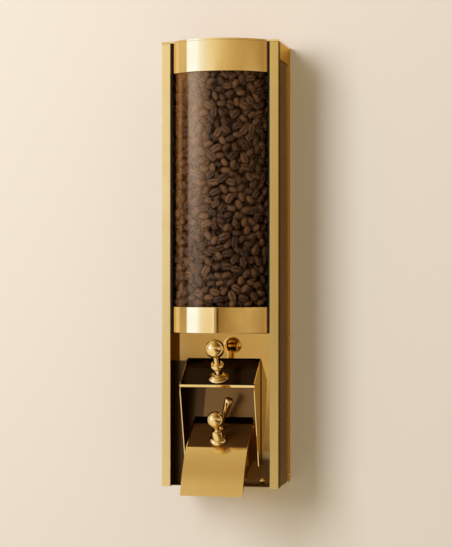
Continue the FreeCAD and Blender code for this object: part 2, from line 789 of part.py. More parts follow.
def knob_screw(label, at, seat):
    """Pan-headed screw, its head below the seat."""
    screw = Piece(label)
    screw.turn(at, seat, [
        (NONE, -S.knob_screw_head_height), (S.knob_screw_head, -S.knob_screw_head_height),
        (S.knob_screw_head, NONE), (S.knob_screw_shank, NONE),
        (S.knob_screw_shank, S.knob_screw_reach), (NONE, S.knob_screw_reach)])
    return screw


# Outlet tray and flap
def outlet_tray():
    """Tray with a falling lip and two side skirts, the flap's pin through its sides."""
    depth = S.panel_recess
    crest = corner(depth - S.crest_out, S.crest_height)
    lip = corner(depth - S.lip_out, -S.lip_below)
    floor_back = corner(PANEL_REAR, S.tray_back_height)
    fall = -S.sheet
    stop = crest[1] - S.crest_stop
    tray = Piece("outlet_tray")
    tray.pad("side", -TRAY_HALF, TRAY_HALF, [
        crest, (crest[0] + S.sheet, crest[1]), (crest[0] + S.sheet, stop),
        corner(depth, S.tray_back_height), corner(depth, S.tray_back_height + fall),
        (crest[0] + S.sheet, stop + fall, S.lip_radius - S.sheet, 1),
        (lip[0] + S.sheet, lip[1]),
        (lip[0], lip[1], S.lip_radius, -1)])
    tray.pad("side", S.seat_gap - TRAY_INNER, TRAY_INNER - S.seat_gap, [
        corner(depth, S.tray_back_height), floor_back,
        (floor_back[0], floor_back[1] + fall), corner(depth, S.tray_back_height + fall)])
    wall_top = S.crest_height + S.crest_out * tangent(S.tray_tilt)
    for _, sign in both_sides():
        tray.pad("side", *span(sign, TRAY_INNER, TRAY_HALF), [
            crest, corner(depth, wall_top),
            (*corner(depth, S.skirt_back_height), S.skirt_radius, 1),
            (lip[0], lip[1], S.lip_radius, -1)])
    tray.cut("side", -TRAY_HALF - S.cut_over,
             TRAY_HALF + S.cut_over,
             Disc(*FLAP_PIN, S.flap_pin_radius + S.pin_gap))


def flap_plate():
    """Pouring flap with a rolled knuckle along its upper edge."""
    half = TRAY_INNER - S.flap_side_gap
    plate = Piece("flap_plate")
    plate.pad("flat", FLAP_SEAT, S.flap_knuckle, rectangle(-half, half, -S.flap_length, NONE))
    plate.pad("side", -half, half, Disc(NONE, NONE, S.flap_knuckle))
    plate.cut("side", -half - S.cut_over, half + S.cut_over,
              Disc(NONE, NONE, S.flap_pin_radius + S.pin_gap))
    plate.cut("flat", FLAP_SEAT - S.cut_over, S.flap_knuckle + S.cut_over,
              Disc(NONE, -S.flap_knob_down, S.knob_screw_shank + S.seat_gap))
    plate.stand(FLAP_PIN, S.tray_tilt)
    pin = Piece("flap_pin")
    end = TRAY_HALF + S.flap_pin_end
    pin.pad("side", -end, end, Disc(*FLAP_PIN, S.flap_pin_radius))


def flap_knob():
    """Ball knob on a tapered skirt and a rosette, held by a screw from below."""
    at, foot = -S.flap_knob_down, S.flap_knuckle
    rosette = Piece("flap_knob_rosette")
    rosette.turn(at, foot, [
        (NONE, NONE), (S.rosette, NONE), (S.rosette, S.rosette_edge, S.rosette_round, 1),
        (S.rosette_crown, S.rosette_height), (NONE, S.rosette_height)])
    neck_foot = S.rosette_height + S.flap_skirt_height + S.flap_neck_foot
    ball_foot = S.flap_ball_height - side_left(S.flap_ball, S.flap_neck)
    knob = Piece("flap_knob")
    knob.turn(at, foot, [
        (NONE, S.rosette_height), (S.flap_skirt_foot, S.rosette_height),
        (S.flap_skirt_top, S.rosette_height + S.flap_skirt_height),
        (S.flap_neck, neck_foot), (S.flap_neck, ball_foot, S.flap_ball, 1),
        (NONE, S.flap_ball_height + S.flap_ball)])
    for piece in (rosette, knob):
        knob_bore(piece, S.flap_knob_down, FLAP_SEAT)
    screw = knob_screw("flap_knob_screw", at, FLAP_SEAT)
    for piece in (rosette, knob, screw):
        piece.stand(FLAP_PIN, S.tray_tilt)


def flap_lever():
    """Stick that leans to the right out of a low boss and widens towards its round tip."""
    at, foot, lean = -S.lever_down, S.flap_knuckle, S.lever_tilt
    start = S.lever_foot * tangent(lean)
    shoulder = S.lever_length - S.lever_tip
    lever = Piece("flap_lever")
    lever.turn(at, foot, [
        (NONE, start), (S.lever_foot, start), (S.lever_foot, S.lever_waist),
        (S.lever_tip, shoulder, S.lever_tip, 1), (NONE, S.lever_length)], lean, -S.lever_left)
    boss = Piece("flap_lever_boss")
    boss.pad("flat", foot, foot + S.lever_boss_height, Disc(-S.lever_left, at, S.lever_boss))
    widened = [(NONE, -S.cut_over), (S.lever_foot + S.pin_gap, -S.cut_over),
               (S.lever_foot + S.pin_gap, S.lever_waist), (NONE, S.lever_waist)]
    boss.turn(at, foot, widened, lean, -S.lever_left, "Groove")
    for piece in (lever, boss):
        piece.stand(FLAP_PIN, S.tray_tilt)


# Fill lid and hinge
def fill_lid():
    """Top lid with its front bowed over the bands and three ribs that locate it."""
    front_half = side_left(BOW_RADIUS, BOW_RADIUS - S.bow_depth)
    lid = Piece("fill_lid")
    lid.pad("flat", up(FRAME_TOP), up(S.body_height), [
        (-HALF, back(LID_REAR)), (-HALF, back(NONE)), (-front_half, back(NONE), BOW_RADIUS, 1),
        (front_half, back(NONE)), (HALF, back(NONE)), (HALF, back(LID_REAR))])
    low, high = up(FRAME_TOP - S.lid_rib_drop), up(FRAME_TOP)
    half, rear = POST_INNER - S.lid_rib_inset, back(S.body_depth - S.lid_rib_rear)
    front = back(S.lid_rib_front)
    lid.pad("flat", low, high, [
        (-half, rear), (-half, front), (half, front), (half, rear), (half - S.sheet, rear),
        (half - S.sheet, front + S.sheet), (S.sheet - half, front + S.sheet),
        (S.sheet - half, rear)])
    lid.cut("flat", up(FRAME_TOP - S.cut_over), up(S.body_height + S.cut_over),
            *rivet_holes(S.rivet_shank + S.pin_gap))


def rivet_holes(radius):
    return [Disc(S.rivet_across * side, HINGE[0] - S.rivet_setback, radius)
            for side in (-1, 0, 1)]


def lid_hinge():
    """Knuckle hinge between the lid and the rail behind it."""
    rail = Piece("lid_hinge_rail")
    rail.pad("flat", up(FRAME_TOP), up(S.body_height),
             rectangle(-HALF, HALF, back(LID_REAR + S.lid_rail_gap), back(S.body_depth)))
    low, high = up(S.body_height), up(S.body_height + S.hinge_leaf_thick)
    centre, clear = HINGE[0], S.hinge_knuckle + S.move_gap
    half, middle = S.hinge_half_length, S.hinge_middle
    swung = middle - S.move_gap
    knuckle = Disc(*HINGE, S.hinge_knuckle)
    bore = Disc(*HINGE, S.hinge_pin_radius + S.pin_gap)

    moving = Piece("lid_hinge_leaf")
    moving.pad("flat", low, high,
               rectangle(-half, half, centre - S.hinge_leaf_depth, centre - clear))
    moving.pad("flat", low, high, rectangle(-swung, swung, centre - clear, centre))
    moving.pad("side", -swung, swung, knuckle)
    moving.cut("side", -half, half, bore)
    moving.cut("flat", low - S.cut_over, high + S.cut_over,
               *rivet_holes(S.rivet_shank + S.pin_gap))

    fixed = Piece("frame_hinge_leaf")
    fixed.pad("flat", low, high, rectangle(-half, half, centre + clear,
                                           back(S.body_depth - S.hinge_rail_edge)))
    for _, sign in both_sides():
        across = span(sign, middle, half)
        fixed.pad("flat", low, high, rectangle(*across, centre, centre + clear))
        fixed.pad("side", *across, knuckle)
    fixed.cut("side", -half - S.cut_over, half + S.cut_over, bore)

    Piece("lid_hinge_pin").pad("side", -half, half, Disc(*HINGE, S.hinge_pin_radius))


# Fasteners
def domed_head(radius, height):
    """Outline of a head with a straight side and a domed crown, from its edge to its top."""
    side = height * HEAD_SIDE_SHARE
    crown = height - side
    dome = (radius * radius + crown * crown) / (crown * 2)
    return [(radius, side, dome, 1), (NONE, height)]


def fastener(label, head, head_height, shank, length, place, angle=None, axis=None):
    """Domed screw or rivet whose seat is at its place, the head pointing up before a turn."""
    made = Piece(label, handed_out=False)
    made.turn(NONE, NONE, [(NONE, -length), (shank, -length), (shank, NONE), (head, NONE),
                           *domed_head(head, head_height)])
    set_frame(made.body, place, angle, axis)
    return made.body


def group(label, bodies):
    made = DOC.addObject("Part::Compound", label)
    made.Links = bodies
    SUBPARTS.append(made)


def fasteners():
    screws = []
    for name, sign in both_sides():
        for level, height in (("low", S.side_screw_low), ("high", S.side_screw_high)):
            screws.append(fastener(
                f"{name}_{level}_side_screw", S.side_screw_head, S.side_screw_head_height,
                S.side_screw_shank, S.side_screw_length,
                (HALF * sign, back(SCREW_DEPTH), up(height)),
                QUARTER_TURN, FreeCAD.Vector(0, sign, 0)))
    group("side_screws", screws)
    group("panel_screws", [fastener(
        f"{name}_panel_screw", S.panel_screw_head, S.panel_screw_head_height,
        S.panel_screw_shank, S.panel_screw_length,
        (PANEL_SCREW_ACROSS * sign, back(S.panel_recess), up(S.panel_screw_rise)),
        QUARTER_TURN, FreeCAD.Vector(1, 0, 0)) for name, sign in both_sides()])
    group("lid_rivets", [fastener(
        f"lid_rivet_{number}", S.rivet_head, S.rivet_head_height, S.rivet_shank,
        S.fill_lid_thick + S.hinge_leaf_thick,
        (hole.across, hole.along, up(S.body_height + S.hinge_leaf_thick)))
        for number, hole in enumerate(rivet_holes(S.rivet_shank), start=1)])


def make_all():
    for name, sign in both_sides():
        frame_side(name, sign)
        hood_cheek(name, sign)
        slide_guide(name, sign)
    for build in (back_tray, bottom_plate, front_panel, bowed_front, hopper_liner,
                  front_shelf, hopper_funnel, drop_chute, slide_plate, slide_knob,
                  outlet_tray, flap_plate, flap_knob, flap_lever, fill_lid, lid_hinge,
                  fasteners):
        build()
    DOC.recompute()


def check_all():
    """Stops when an object is in error or a handed-out shape is empty or invalid."""
    for thing in DOC.Objects:
        faults = [state for state in thing.State if state in ("Invalid", "Error")]
        if faults:
            raise RuntimeError(f"{thing.Name} is {faults[0]}")
    for piece in SUBPARTS:
        if piece.Shape.isNull() or not piece.Shape.isValid() or not piece.Shape.Solids:
            raise RuntimeError(f"{piece.Label} has no valid solid")


def export_all():
    os.makedirs("parts", exist_ok=True)
    for piece in SUBPARTS:
        piece.Shape.exportStep(f"parts/{piece.Label}.step")
        print(piece.Label, len(piece.Shape.Solids))


make_all()
check_all()
export_all()
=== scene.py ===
"""Looks of the wall-hung gravity bin: polished and satin brass, bowed window, coffee beans.

Metres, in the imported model's frame: X to the right, Y into the wall, Z up.
"""

import json
import logging
import math
import random
from dataclasses import dataclass, field
from enum import Enum
from typing import Callable, Iterable, Sequence

import bmesh
import bpy
from mathutils import Matrix, Vector

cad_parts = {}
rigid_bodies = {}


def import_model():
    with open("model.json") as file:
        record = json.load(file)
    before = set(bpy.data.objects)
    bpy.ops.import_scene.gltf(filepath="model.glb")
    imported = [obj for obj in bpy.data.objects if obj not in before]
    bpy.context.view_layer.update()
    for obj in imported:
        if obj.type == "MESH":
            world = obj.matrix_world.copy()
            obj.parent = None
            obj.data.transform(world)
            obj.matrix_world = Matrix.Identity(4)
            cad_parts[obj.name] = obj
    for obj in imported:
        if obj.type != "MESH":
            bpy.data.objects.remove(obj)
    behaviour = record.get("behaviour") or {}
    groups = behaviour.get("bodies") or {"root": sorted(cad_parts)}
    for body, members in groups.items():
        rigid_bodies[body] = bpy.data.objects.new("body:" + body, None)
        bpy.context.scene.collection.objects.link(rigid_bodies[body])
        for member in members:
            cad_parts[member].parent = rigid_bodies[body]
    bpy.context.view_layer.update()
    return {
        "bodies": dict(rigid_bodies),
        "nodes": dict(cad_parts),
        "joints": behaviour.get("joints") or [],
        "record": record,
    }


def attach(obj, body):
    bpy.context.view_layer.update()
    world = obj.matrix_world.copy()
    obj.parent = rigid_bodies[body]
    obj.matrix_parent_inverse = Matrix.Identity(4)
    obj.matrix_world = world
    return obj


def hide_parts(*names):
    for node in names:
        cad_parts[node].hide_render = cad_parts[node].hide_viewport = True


LOG = logging.getLogger("gravity_bin")
MM = 0.001
SHARP_ANGLE = math.radians(32)
BODY_DEPTH = 88.0
BODY_MIDDLE = 247.5


class Slot(Enum):
    """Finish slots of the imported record."""

    SATIN = "satin_brass"
    POLISHED = "polished_brass"
    LACQUER = "bronze_lacquer"
    LINER = "dark_liner"
    PANE = "clear_pane"
    SEAL = "seal"
    STEEL = "plated_steel"


class Body(Enum):
    """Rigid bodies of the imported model."""

    CASING = "casing"
    SLIDE = "shut_off_slide"
    FLAP = "pouring_flap"
    LID = "lid"


def place(across: float, depth: float, height: float) -> Vector:
    """Turns millimetres from the posts' front foot into the row frame.

    Args:
        across: distance to the right of the middle plane.
        depth: distance behind the posts' front face.
        height: distance above the body's foot.

    Returns:
        The point in metres.
    """
    return Vector((across, depth - BODY_DEPTH, height - BODY_MIDDLE)) * MM


# Finishes
class Nodes:
    """Small helper that adds and joins shader nodes of a material or a world."""

    def __init__(self, name: str, world: bool = False) -> None:
        """Starts an empty material or world with its output.

        Args:
            name: its name.
            world: whether it is a world.
        """
        self.material = (bpy.data.worlds if world else bpy.data.materials).new(name)
        self.material.use_nodes = True
        self.tree = self.material.node_tree
        self.tree.nodes.clear()
        self.output = self.add("ShaderNodeOutputWorld" if world else "ShaderNodeOutputMaterial")

    def sum(self, operation: str, *values: object) -> bpy.types.NodeSocket:
        """Works out a number.

        Args:
            operation: the math node's operation.
            *values: its inputs, numbers or sockets.

        Returns:
            The result's socket.
        """
        node = self.add("ShaderNodeMath")
        node.operation = operation
        for target, value in zip(node.inputs, values):
            if isinstance(value, (int, float)):
                target.default_value = value
            else:
                self.join(value, target)
        return node.outputs[0]

    def ramp(self, factor: bpy.types.NodeSocket,
             stops: Sequence[tuple[float, Sequence[float]]]) -> bpy.types.NodeSocket:
        """Colour along a factor.

        Args:
            factor: the factor.
            stops: positions from zero to one, each with its colour.

        Returns:
            The colour's socket.
        """
        node = self.add("ShaderNodeValToRGB")
        elements = node.color_ramp.elements
        elements.remove(elements[-1])
        for number, (position, colour) in enumerate(stops):
            element = elements[0] if number == 0 else elements.new(position)
            element.position = position
            element.color = (*colour, 1.0)
        self.join(factor, node.inputs[0])
        return node.outputs[0]

    def add(self, kind: str, **sockets: object) -> bpy.types.Node:
        """Adds a node and sets its input sockets by name.

        Args:
            kind: the node's type.
            **sockets: socket names with underscores for spaces, and their values.

        Returns:
            The new node.
        """
        node = self.tree.nodes.new(kind)
        for name, value in sockets.items():
            node.inputs[name.replace("_", " ")].default_value = value
        return node

    def join(self, source: bpy.types.NodeSocket, target: bpy.types.NodeSocket) -> None:
        """Links an output to an input."""
        self.tree.links.new(source, target)

    def coordinates(self, scale: Sequence[float]) -> bpy.types.NodeSocket:
        """Object coordinates with a scale along each axis.

        Args:
            scale: the three factors.

        Returns:
            The scaled vector's socket.
        """
        source = self.add("ShaderNodeTexCoord")
        mapping = self.add("ShaderNodeMapping", Scale=tuple(scale))
        self.join(source.outputs["Object"], mapping.inputs["Vector"])
        return mapping.outputs["Vector"]

    def noise(self, scale: Sequence[float], detail: float = 3.0) -> bpy.types.NodeSocket:
        """Noise over the object, finer along an axis with a larger factor.

        Args:
            scale: factor along each axis, in cells per metre.
            detail: octaves of the noise.

        Returns:
            The noise's factor socket.
        """
        node = self.add("ShaderNodeTexNoise", Scale=1.0, Detail=detail)
        self.join(self.coordinates(scale), node.inputs["Vector"])
        return node.outputs["Fac"]

    def spread(self, source: bpy.types.NodeSocket, low: float, high: float,
               start: float = 0.3, stop: float = 0.7) -> bpy.types.NodeSocket:
        """Maps a factor onto a range.

        Args:
            source: the factor.
            low: value at the start.
            high: value at the stop.
            start: factor that gives the low value.
            stop: factor that gives the high value.

        Returns:
            The mapped value's socket.
        """
        node = self.add("ShaderNodeMapRange")
        for name, value in (("From Min", start), ("From Max", stop),
                            ("To Min", low), ("To Max", high)):
            node.inputs[name].default_value = value
        self.join(source, node.inputs["Value"])
        return node.outputs["Result"]

    def blend(self, factor: bpy.types.NodeSocket, first: object, second: object,
              kind: str = "MIX") -> bpy.types.NodeSocket:
        """Mixes two colours by a factor.

        Args:
            factor: the mixing factor.
            first: colour or socket at zero.
            second: colour or socket at one.
            kind: the blend type.

        Returns:
            The mixed colour's socket.
        """
        node = self.add("ShaderNodeMix")
        node.data_type = "RGBA"
        node.blend_type = kind
        for target, value in ((node.inputs[6], first), (node.inputs[7], second)):
            if isinstance(value, tuple):
                target.default_value = (*value, 1.0)
            else:
                self.join(value, target)
        self.join(factor, node.inputs[0])
        return node.outputs[2]

    def bump(self, height: bpy.types.NodeSocket, strength: float,
             distance: float) -> bpy.types.NodeSocket:
        """Bump normals from a height.

        Args:
            height: the height's socket.
            strength: share of the bump that shows.
            distance: depth of the bump in metres.

        Returns:
            The normal's socket.
        """
        node = self.add("ShaderNodeBump", Strength=strength, Distance=distance)
        self.join(height, node.inputs["Height"])
        return node.outputs["Normal"]


@dataclass(frozen=True)
class Brass:
    """Brass sheet or bar, from mirror polish to satin."""

    name: str
    colour: tuple[float, float, float]
    tarnish: tuple[float, float, float]
    rough_low: float
    rough_high: float
    grain: tuple[float, float, float]
    grain_depth: float
    grain_strength: float
    metallic: float = 1.0
    edge: tuple[float, float, float] = (1.0, 1.0, 1.0)

    def material(self) -> bpy.types.Material:
        """Builds the material.

        Returns:
            The brass material.
        """
        nodes = Nodes(self.name)
        shader = nodes.add("ShaderNodeBsdfPrincipled", Metallic=self.metallic,
                           Specular_Tint=(*self.edge, 1.0))
        cloud = nodes.noise((28.0, 28.0, 28.0))
        tint = nodes.blend(nodes.spread(cloud, 0.0, 1.0), self.colour, self.tarnish)
        grain = nodes.noise(self.grain, 2.0)
        wear = nodes.sum("ADD", nodes.spread(cloud, 0.0, self.rough_high - self.rough_low),
                         nodes.spread(grain, self.rough_low, self.rough_high))
        tint, wear = self.with_painted_shade(nodes, tint, wear)
        nodes.join(tint, shader.inputs["Base Color"])
        nodes.join(wear, shader.inputs["Roughness"])
        nodes.join(nodes.bump(grain, self.grain_strength, self.grain_depth),
                   shader.inputs["Normal"])
        nodes.join(shader.outputs["BSDF"], nodes.output.inputs["Surface"])
        return nodes.material

    def with_painted_shade(self, nodes: Nodes, tint: bpy.types.NodeSocket,
                wear: bpy.types.NodeSocket) -> tuple[bpy.types.NodeSocket, bpy.types.NodeSocket]:
        """Leaves plain brass as it is; a finish with painted shade changes it here.

        Args:
            nodes: the material's nodes.
            tint: the colour's socket.
            wear: the roughness's socket.

        Returns:
            The colour and the roughness.
        """
        return tint, wear


@dataclass(frozen=True)
class ShadePaintedBrass(Brass):
    """Polished brass sheet with painted shade: brown across its middle below a line, where the
    hood shades it, and darker further down and right of a slanted line, where it mirrors the
    flap's shade.
    """

    # painted shade colours: the hood's shade, and a darker one where the panel mirrors the flap's
    # shade
    hood_shade: tuple[float, float, float] = (0.23, 0.12, 0.04)
    deep_shade: tuple[float, float, float] = (0.08, 0.044, 0.016)
    right: float = 0.0427
    deep_right: float = -0.0085
    slant: float = 0.09
    deep_span: tuple[float, float] = (-0.205, -0.165)
    deep_share: float = 0.9
    foot_span: tuple[float, float] = (-0.219, -0.207)
    top: float = -0.1085
    soft: float = 0.0008
    dulled: float = 0.15

    def with_painted_shade(self, nodes: Nodes, tint: bpy.types.NodeSocket,
                wear: bpy.types.NodeSocket) -> tuple[bpy.types.NodeSocket, bpy.types.NodeSocket]:
        """Paints the hood's shade onto the sheet inside the region.

        Args:
            nodes: the material's nodes.
            tint: the colour's socket.
            wear: the roughness's socket.

        Returns:
            The colour and the roughness.
        """
        split = nodes.add("ShaderNodeSeparateXYZ")
        nodes.join(nodes.coordinates((1.0, 1.0, 1.0)), split.inputs[0])
        across, rise = split.outputs["X"], split.outputs["Z"]
        inside = nodes.sum("MULTIPLY",
                           nodes.sum("MAXIMUM", nodes.spread(rise, 1.0, 0.0, *self.foot_span),
                                     nodes.spread(across, 1.0, 0.0, self.right,
                                                  self.right + self.soft)),
                           nodes.spread(rise, 1.0, 0.0, self.top, self.top + self.soft))
        aslant = nodes.sum("SUBTRACT", across, nodes.sum("MULTIPLY", rise, self.slant))
        deep = nodes.sum("MAXIMUM",
                         nodes.spread(aslant, 1.0, 0.0, self.deep_right,
                                      self.deep_right + self.soft),
                         nodes.spread(rise, self.deep_share, 0.0, *self.deep_span))
        # painted shade, blended over the brass inside the region
        hood_shade = nodes.blend(deep, self.hood_shade, self.deep_shade)
        return (nodes.blend(inside, tint, hood_shade),
                nodes.sum("ADD", wear, nodes.sum("MULTIPLY", inside, self.dulled)))


@dataclass(frozen=True)
class Coat:
    """Paint, rubber or plated metal with a fine unevenness."""

    name: str
    colour: tuple[float, float, float]
    shade: tuple[float, float, float]
    roughness: float
    metallic: float
    pattern: float
    depth: float
    specular: float = 0.5

    def material(self) -> bpy.types.Material:
        """Builds the material.

        Returns:
            The coated material.
        """
        nodes = Nodes(self.name)
        shader = nodes.add("ShaderNodeBsdfPrincipled", Metallic=self.metallic,
                           Specular_IOR_Level=self.specular)
        cloud = nodes.noise((self.pattern,) * 3)
        nodes.join(nodes.blend(nodes.spread(cloud, 0.0, 1.0), self.colour, self.shade),
                   shader.inputs["Base Color"])
        nodes.join(nodes.spread(cloud, self.roughness * 0.85, self.roughness * 1.15),
                   shader.inputs["Roughness"])
        nodes.join(nodes.bump(nodes.noise((self.pattern * 30,) * 3, 1.0), 0.2, self.depth),
                   shader.inputs["Normal"])
        nodes.join(shader.outputs["BSDF"], nodes.output.inputs["Surface"])
        return nodes.material


@dataclass(frozen=True)
class ClearPane:
    """Bent clear sheet whose warm-tinted reflection is painted strongest at its upper left and
    fades to the right and downwards; towards its right it lets less light through, painted shade.
    """

    name: str
    colour: tuple[float, float, float]
    shaded: tuple[float, float, float]
    reflection_tint: tuple[float, float, float]
    gleam: float
    painted_reflection_share: float
    reflection_fade_span: tuple[float, float]
    low_share: float
    rise_span: tuple[float, float]

    def material(self) -> bpy.types.Material:
        """Builds the material.

        Returns:
            The clear material, which lets light and shadow rays straight through.
        """
        nodes = Nodes(self.name)
        clear = nodes.add("ShaderNodeBsdfTransparent")
        gloss = nodes.add("ShaderNodeBsdfGlossy", Color=(*self.reflection_tint, 1.0))
        dust = nodes.noise((60.0, 60.0, 20.0))
        nodes.join(nodes.spread(dust, 0.05, 0.09), gloss.inputs["Roughness"])
        facing = nodes.add("ShaderNodeLayerWeight", Blend=0.5)
        grazing = nodes.sum("MULTIPLY", nodes.sum("POWER", facing.outputs["Facing"], 5.0), 0.15)
        split = nodes.add("ShaderNodeSeparateXYZ")
        nodes.join(nodes.coordinates((1.0, 1.0, 1.0)), split.inputs[0])
        # painted shade: the sheet lets less light through towards its right
        nodes.join(nodes.blend(nodes.spread(split.outputs["X"], 0.0, 1.0, -0.01, 0.045),
                               self.colour, self.shaded), clear.inputs["Color"])
        # painted reflection: the gloss is strongest at the upper left and fades to the right and
        # downwards
        painted_reflection_share = nodes.sum("MULTIPLY",
                          nodes.spread(split.outputs["X"], 1.0, self.painted_reflection_share, *self.reflection_fade_span),
                          nodes.spread(split.outputs["Z"], self.low_share, 1.0,
                                       *self.rise_span))
        mix = nodes.add("ShaderNodeMixShader")
        gleam = nodes.sum("MULTIPLY", nodes.sum("ADD", grazing, self.gleam), painted_reflection_share)
        nodes.join(gleam, mix.inputs[0])
        nodes.join(clear.outputs[0], mix.inputs[1])
        nodes.join(gloss.outputs[0], mix.inputs[2])
        nodes.join(mix.outputs[0], nodes.output.inputs["Surface"])
        return nodes.material


@dataclass(frozen=True)
class RoastedBean:
    """Roasted bean skin: brown, streaked, with a dull oily sheen."""

    name: str
    light: tuple[float, float, float]
    dark: tuple[float, float, float]
    # near-black painted shade in each bean's crease
    crease_shade: tuple[float, float, float]

    def material(self) -> bpy.types.Material:
        """Builds the material.

        Returns:
            The bean material, which reads each bean's tone, random and with its painted shade, and
            its crease.
        """
        nodes = Nodes(self.name)
        shader = nodes.add("ShaderNodeBsdfPrincipled", IOR=1.45)
        tone = nodes.add("ShaderNodeAttribute")
        tone.attribute_name = "tone"
        skin = nodes.blend(tone.outputs["Fac"], self.dark, self.light)
        crease = nodes.add("ShaderNodeAttribute")
        crease.attribute_name = "crease"
        mottle = nodes.noise((420.0, 420.0, 420.0), 3.0)
        # painted shade along the crease
        shaded_crease = nodes.blend(crease.outputs["Fac"], skin, self.crease_shade)
        streak = nodes.blend(nodes.spread(mottle, 0.0, 0.7), shaded_crease, (0.6, 0.55, 0.5), "MULTIPLY")
        nodes.join(streak, shader.inputs["Base Color"])
        nodes.join(nodes.spread(mottle, 0.42, 0.6), shader.inputs["Roughness"])
        nodes.join(nodes.bump(mottle, 0.4, 0.0003), shader.inputs["Normal"])
        nodes.join(shader.outputs["BSDF"], nodes.output.inputs["Surface"])
        return nodes.material


POLISHED_BRASS = Brass("polished_brass_mirror", (0.83, 0.585, 0.235), (0.80, 0.55, 0.21),
                       0.03, 0.06, (40.0, 40.0, 40.0), 0.0002, 0.04)
SATIN_BRASS = Brass("satin_brass_brushed", (0.91, 0.66, 0.27), (0.87, 0.62, 0.24),
                    0.16, 0.2, (1500.0, 1500.0, 20.0), 0.00002, 0.04, edge=(0.75, 0.5, 0.2))
# darker copy of satin brass for the right post: painted shade
SHADED_SATIN = Brass("satin_brass_painted_shade", (0.71, 0.485, 0.15), (0.67, 0.45, 0.135),
                     0.16, 0.2, (1500.0, 1500.0, 20.0), 0.00002, 0.04, edge=(0.85, 0.6, 0.25))
# right hood cheek's outer face: paler, greyer brass than the rest of the cheek, a painted
# reflection
CHEEK_REFLECTION_FACE = Brass("painted_reflection_brass_face", (0.62, 0.52, 0.4), (0.58, 0.48, 0.36),
                   0.08, 0.12, (40.0, 40.0, 40.0), 0.0001, 0.03, edge=(0.8, 0.7, 0.5))
# left hood cheek's inner face: dark brass, painted shade inside the hood
CHEEK_SHADE_FACE = Brass("painted_shade_inner_face", (0.32, 0.22, 0.12), (0.28, 0.19, 0.1),
                  0.1, 0.14, (40.0, 40.0, 40.0), 0.0001, 0.03, edge=(0.3, 0.2, 0.1))
# front panel: polished brass with painted shade inside the hood
HOOD_SHADE_PANEL = ShadePaintedBrass("polished_brass_painted_shade_below", (0.83, 0.585, 0.235),
                           (0.80, 0.55, 0.21), 0.03, 0.05, (40.0, 40.0, 40.0), 0.0002, 0.03)
# slide plate's upper face: near-black mirror, painted shade of the dark hood underside it reflects
SLIDE_SHADE_FACE = Brass("painted_shade_mirror_face", (0.026, 0.017, 0.015), (0.02, 0.013, 0.011),
                    0.05, 0.09, (40.0, 40.0, 40.0), 0.0002, 0.03, edge=(0.5, 0.5, 0.5))
# flap plate's upper face: dark brown brass, painted shade under the hood
FLAP_SHADE_FACE = Brass("painted_shade_flap_face", (0.11, 0.046, 0.009), (0.09, 0.036, 0.007),
                  0.2, 0.26, (60.0, 60.0, 60.0), 0.0001, 0.04, 0.35, (0.4, 0.25, 0.12))
# posts' side faces: darker brass, painted reflection of the wall's shadow beside the bin
POST_SHADE_SIDE = Brass("painted_shade_brass_side", (0.40, 0.27, 0.12), (0.36, 0.24, 0.1),
                  0.12, 0.16, (1500.0, 1500.0, 20.0), 0.00002, 0.04, edge=(0.3, 0.25, 0.16))
BRONZE_LACQUER = Brass("bronze_lacquer_gloss", (0.18, 0.1, 0.045), (0.16, 0.088, 0.038),
                       0.16, 0.2, (60.0, 60.0, 60.0), 0.0001, 0.03, edge=(0.68, 0.54, 0.37))
DARK_LINER = Coat("dark_liner_paint", (0.06, 0.036, 0.02), (0.04, 0.024, 0.014),
                  0.5, 0.0, 30.0, 0.00004)
SEAL_RUBBER = Coat("seal_rubber", (0.01, 0.008, 0.007), (0.016, 0.013, 0.011),
                   0.55, 0.0, 90.0, 0.00005, 0.12)
PLATED_STEEL = Coat("plated_steel", (0.72, 0.70, 0.64), (0.6, 0.58, 0.53),
                    0.16, 1.0, 120.0, 0.00001)
# clear pane: warm painted reflection tint, gloss painted strongest at the upper left, painted
# shade to the right
CLEAR_PANE = ClearPane("clear_pane_sheet", (0.985, 0.98, 0.97), (0.93, 0.90, 0.87),
                       (1.0, 0.5, 0.17), 0.14, 0.05, (-0.024, -0.005), 0.26, (0.0, 0.15))
# bean skin: light and dark ends of the tone, and near-black painted shade for the crease
BEAN_SKIN = RoastedBean("roasted_bean_skin", (0.195, 0.092, 0.037), (0.033, 0.014, 0.0055),
                        (0.01, 0.004, 0.0015))

FINISH_OF_SLOT: dict[Slot, object] = {
    Slot.SATIN: SATIN_BRASS, Slot.POLISHED: POLISHED_BRASS, Slot.LACQUER: BRONZE_LACQUER,
    Slot.LINER: DARK_LINER, Slot.PANE: CLEAR_PANE, Slot.SEAL: SEAL_RUBBER,
    Slot.STEEL: PLATED_STEEL}


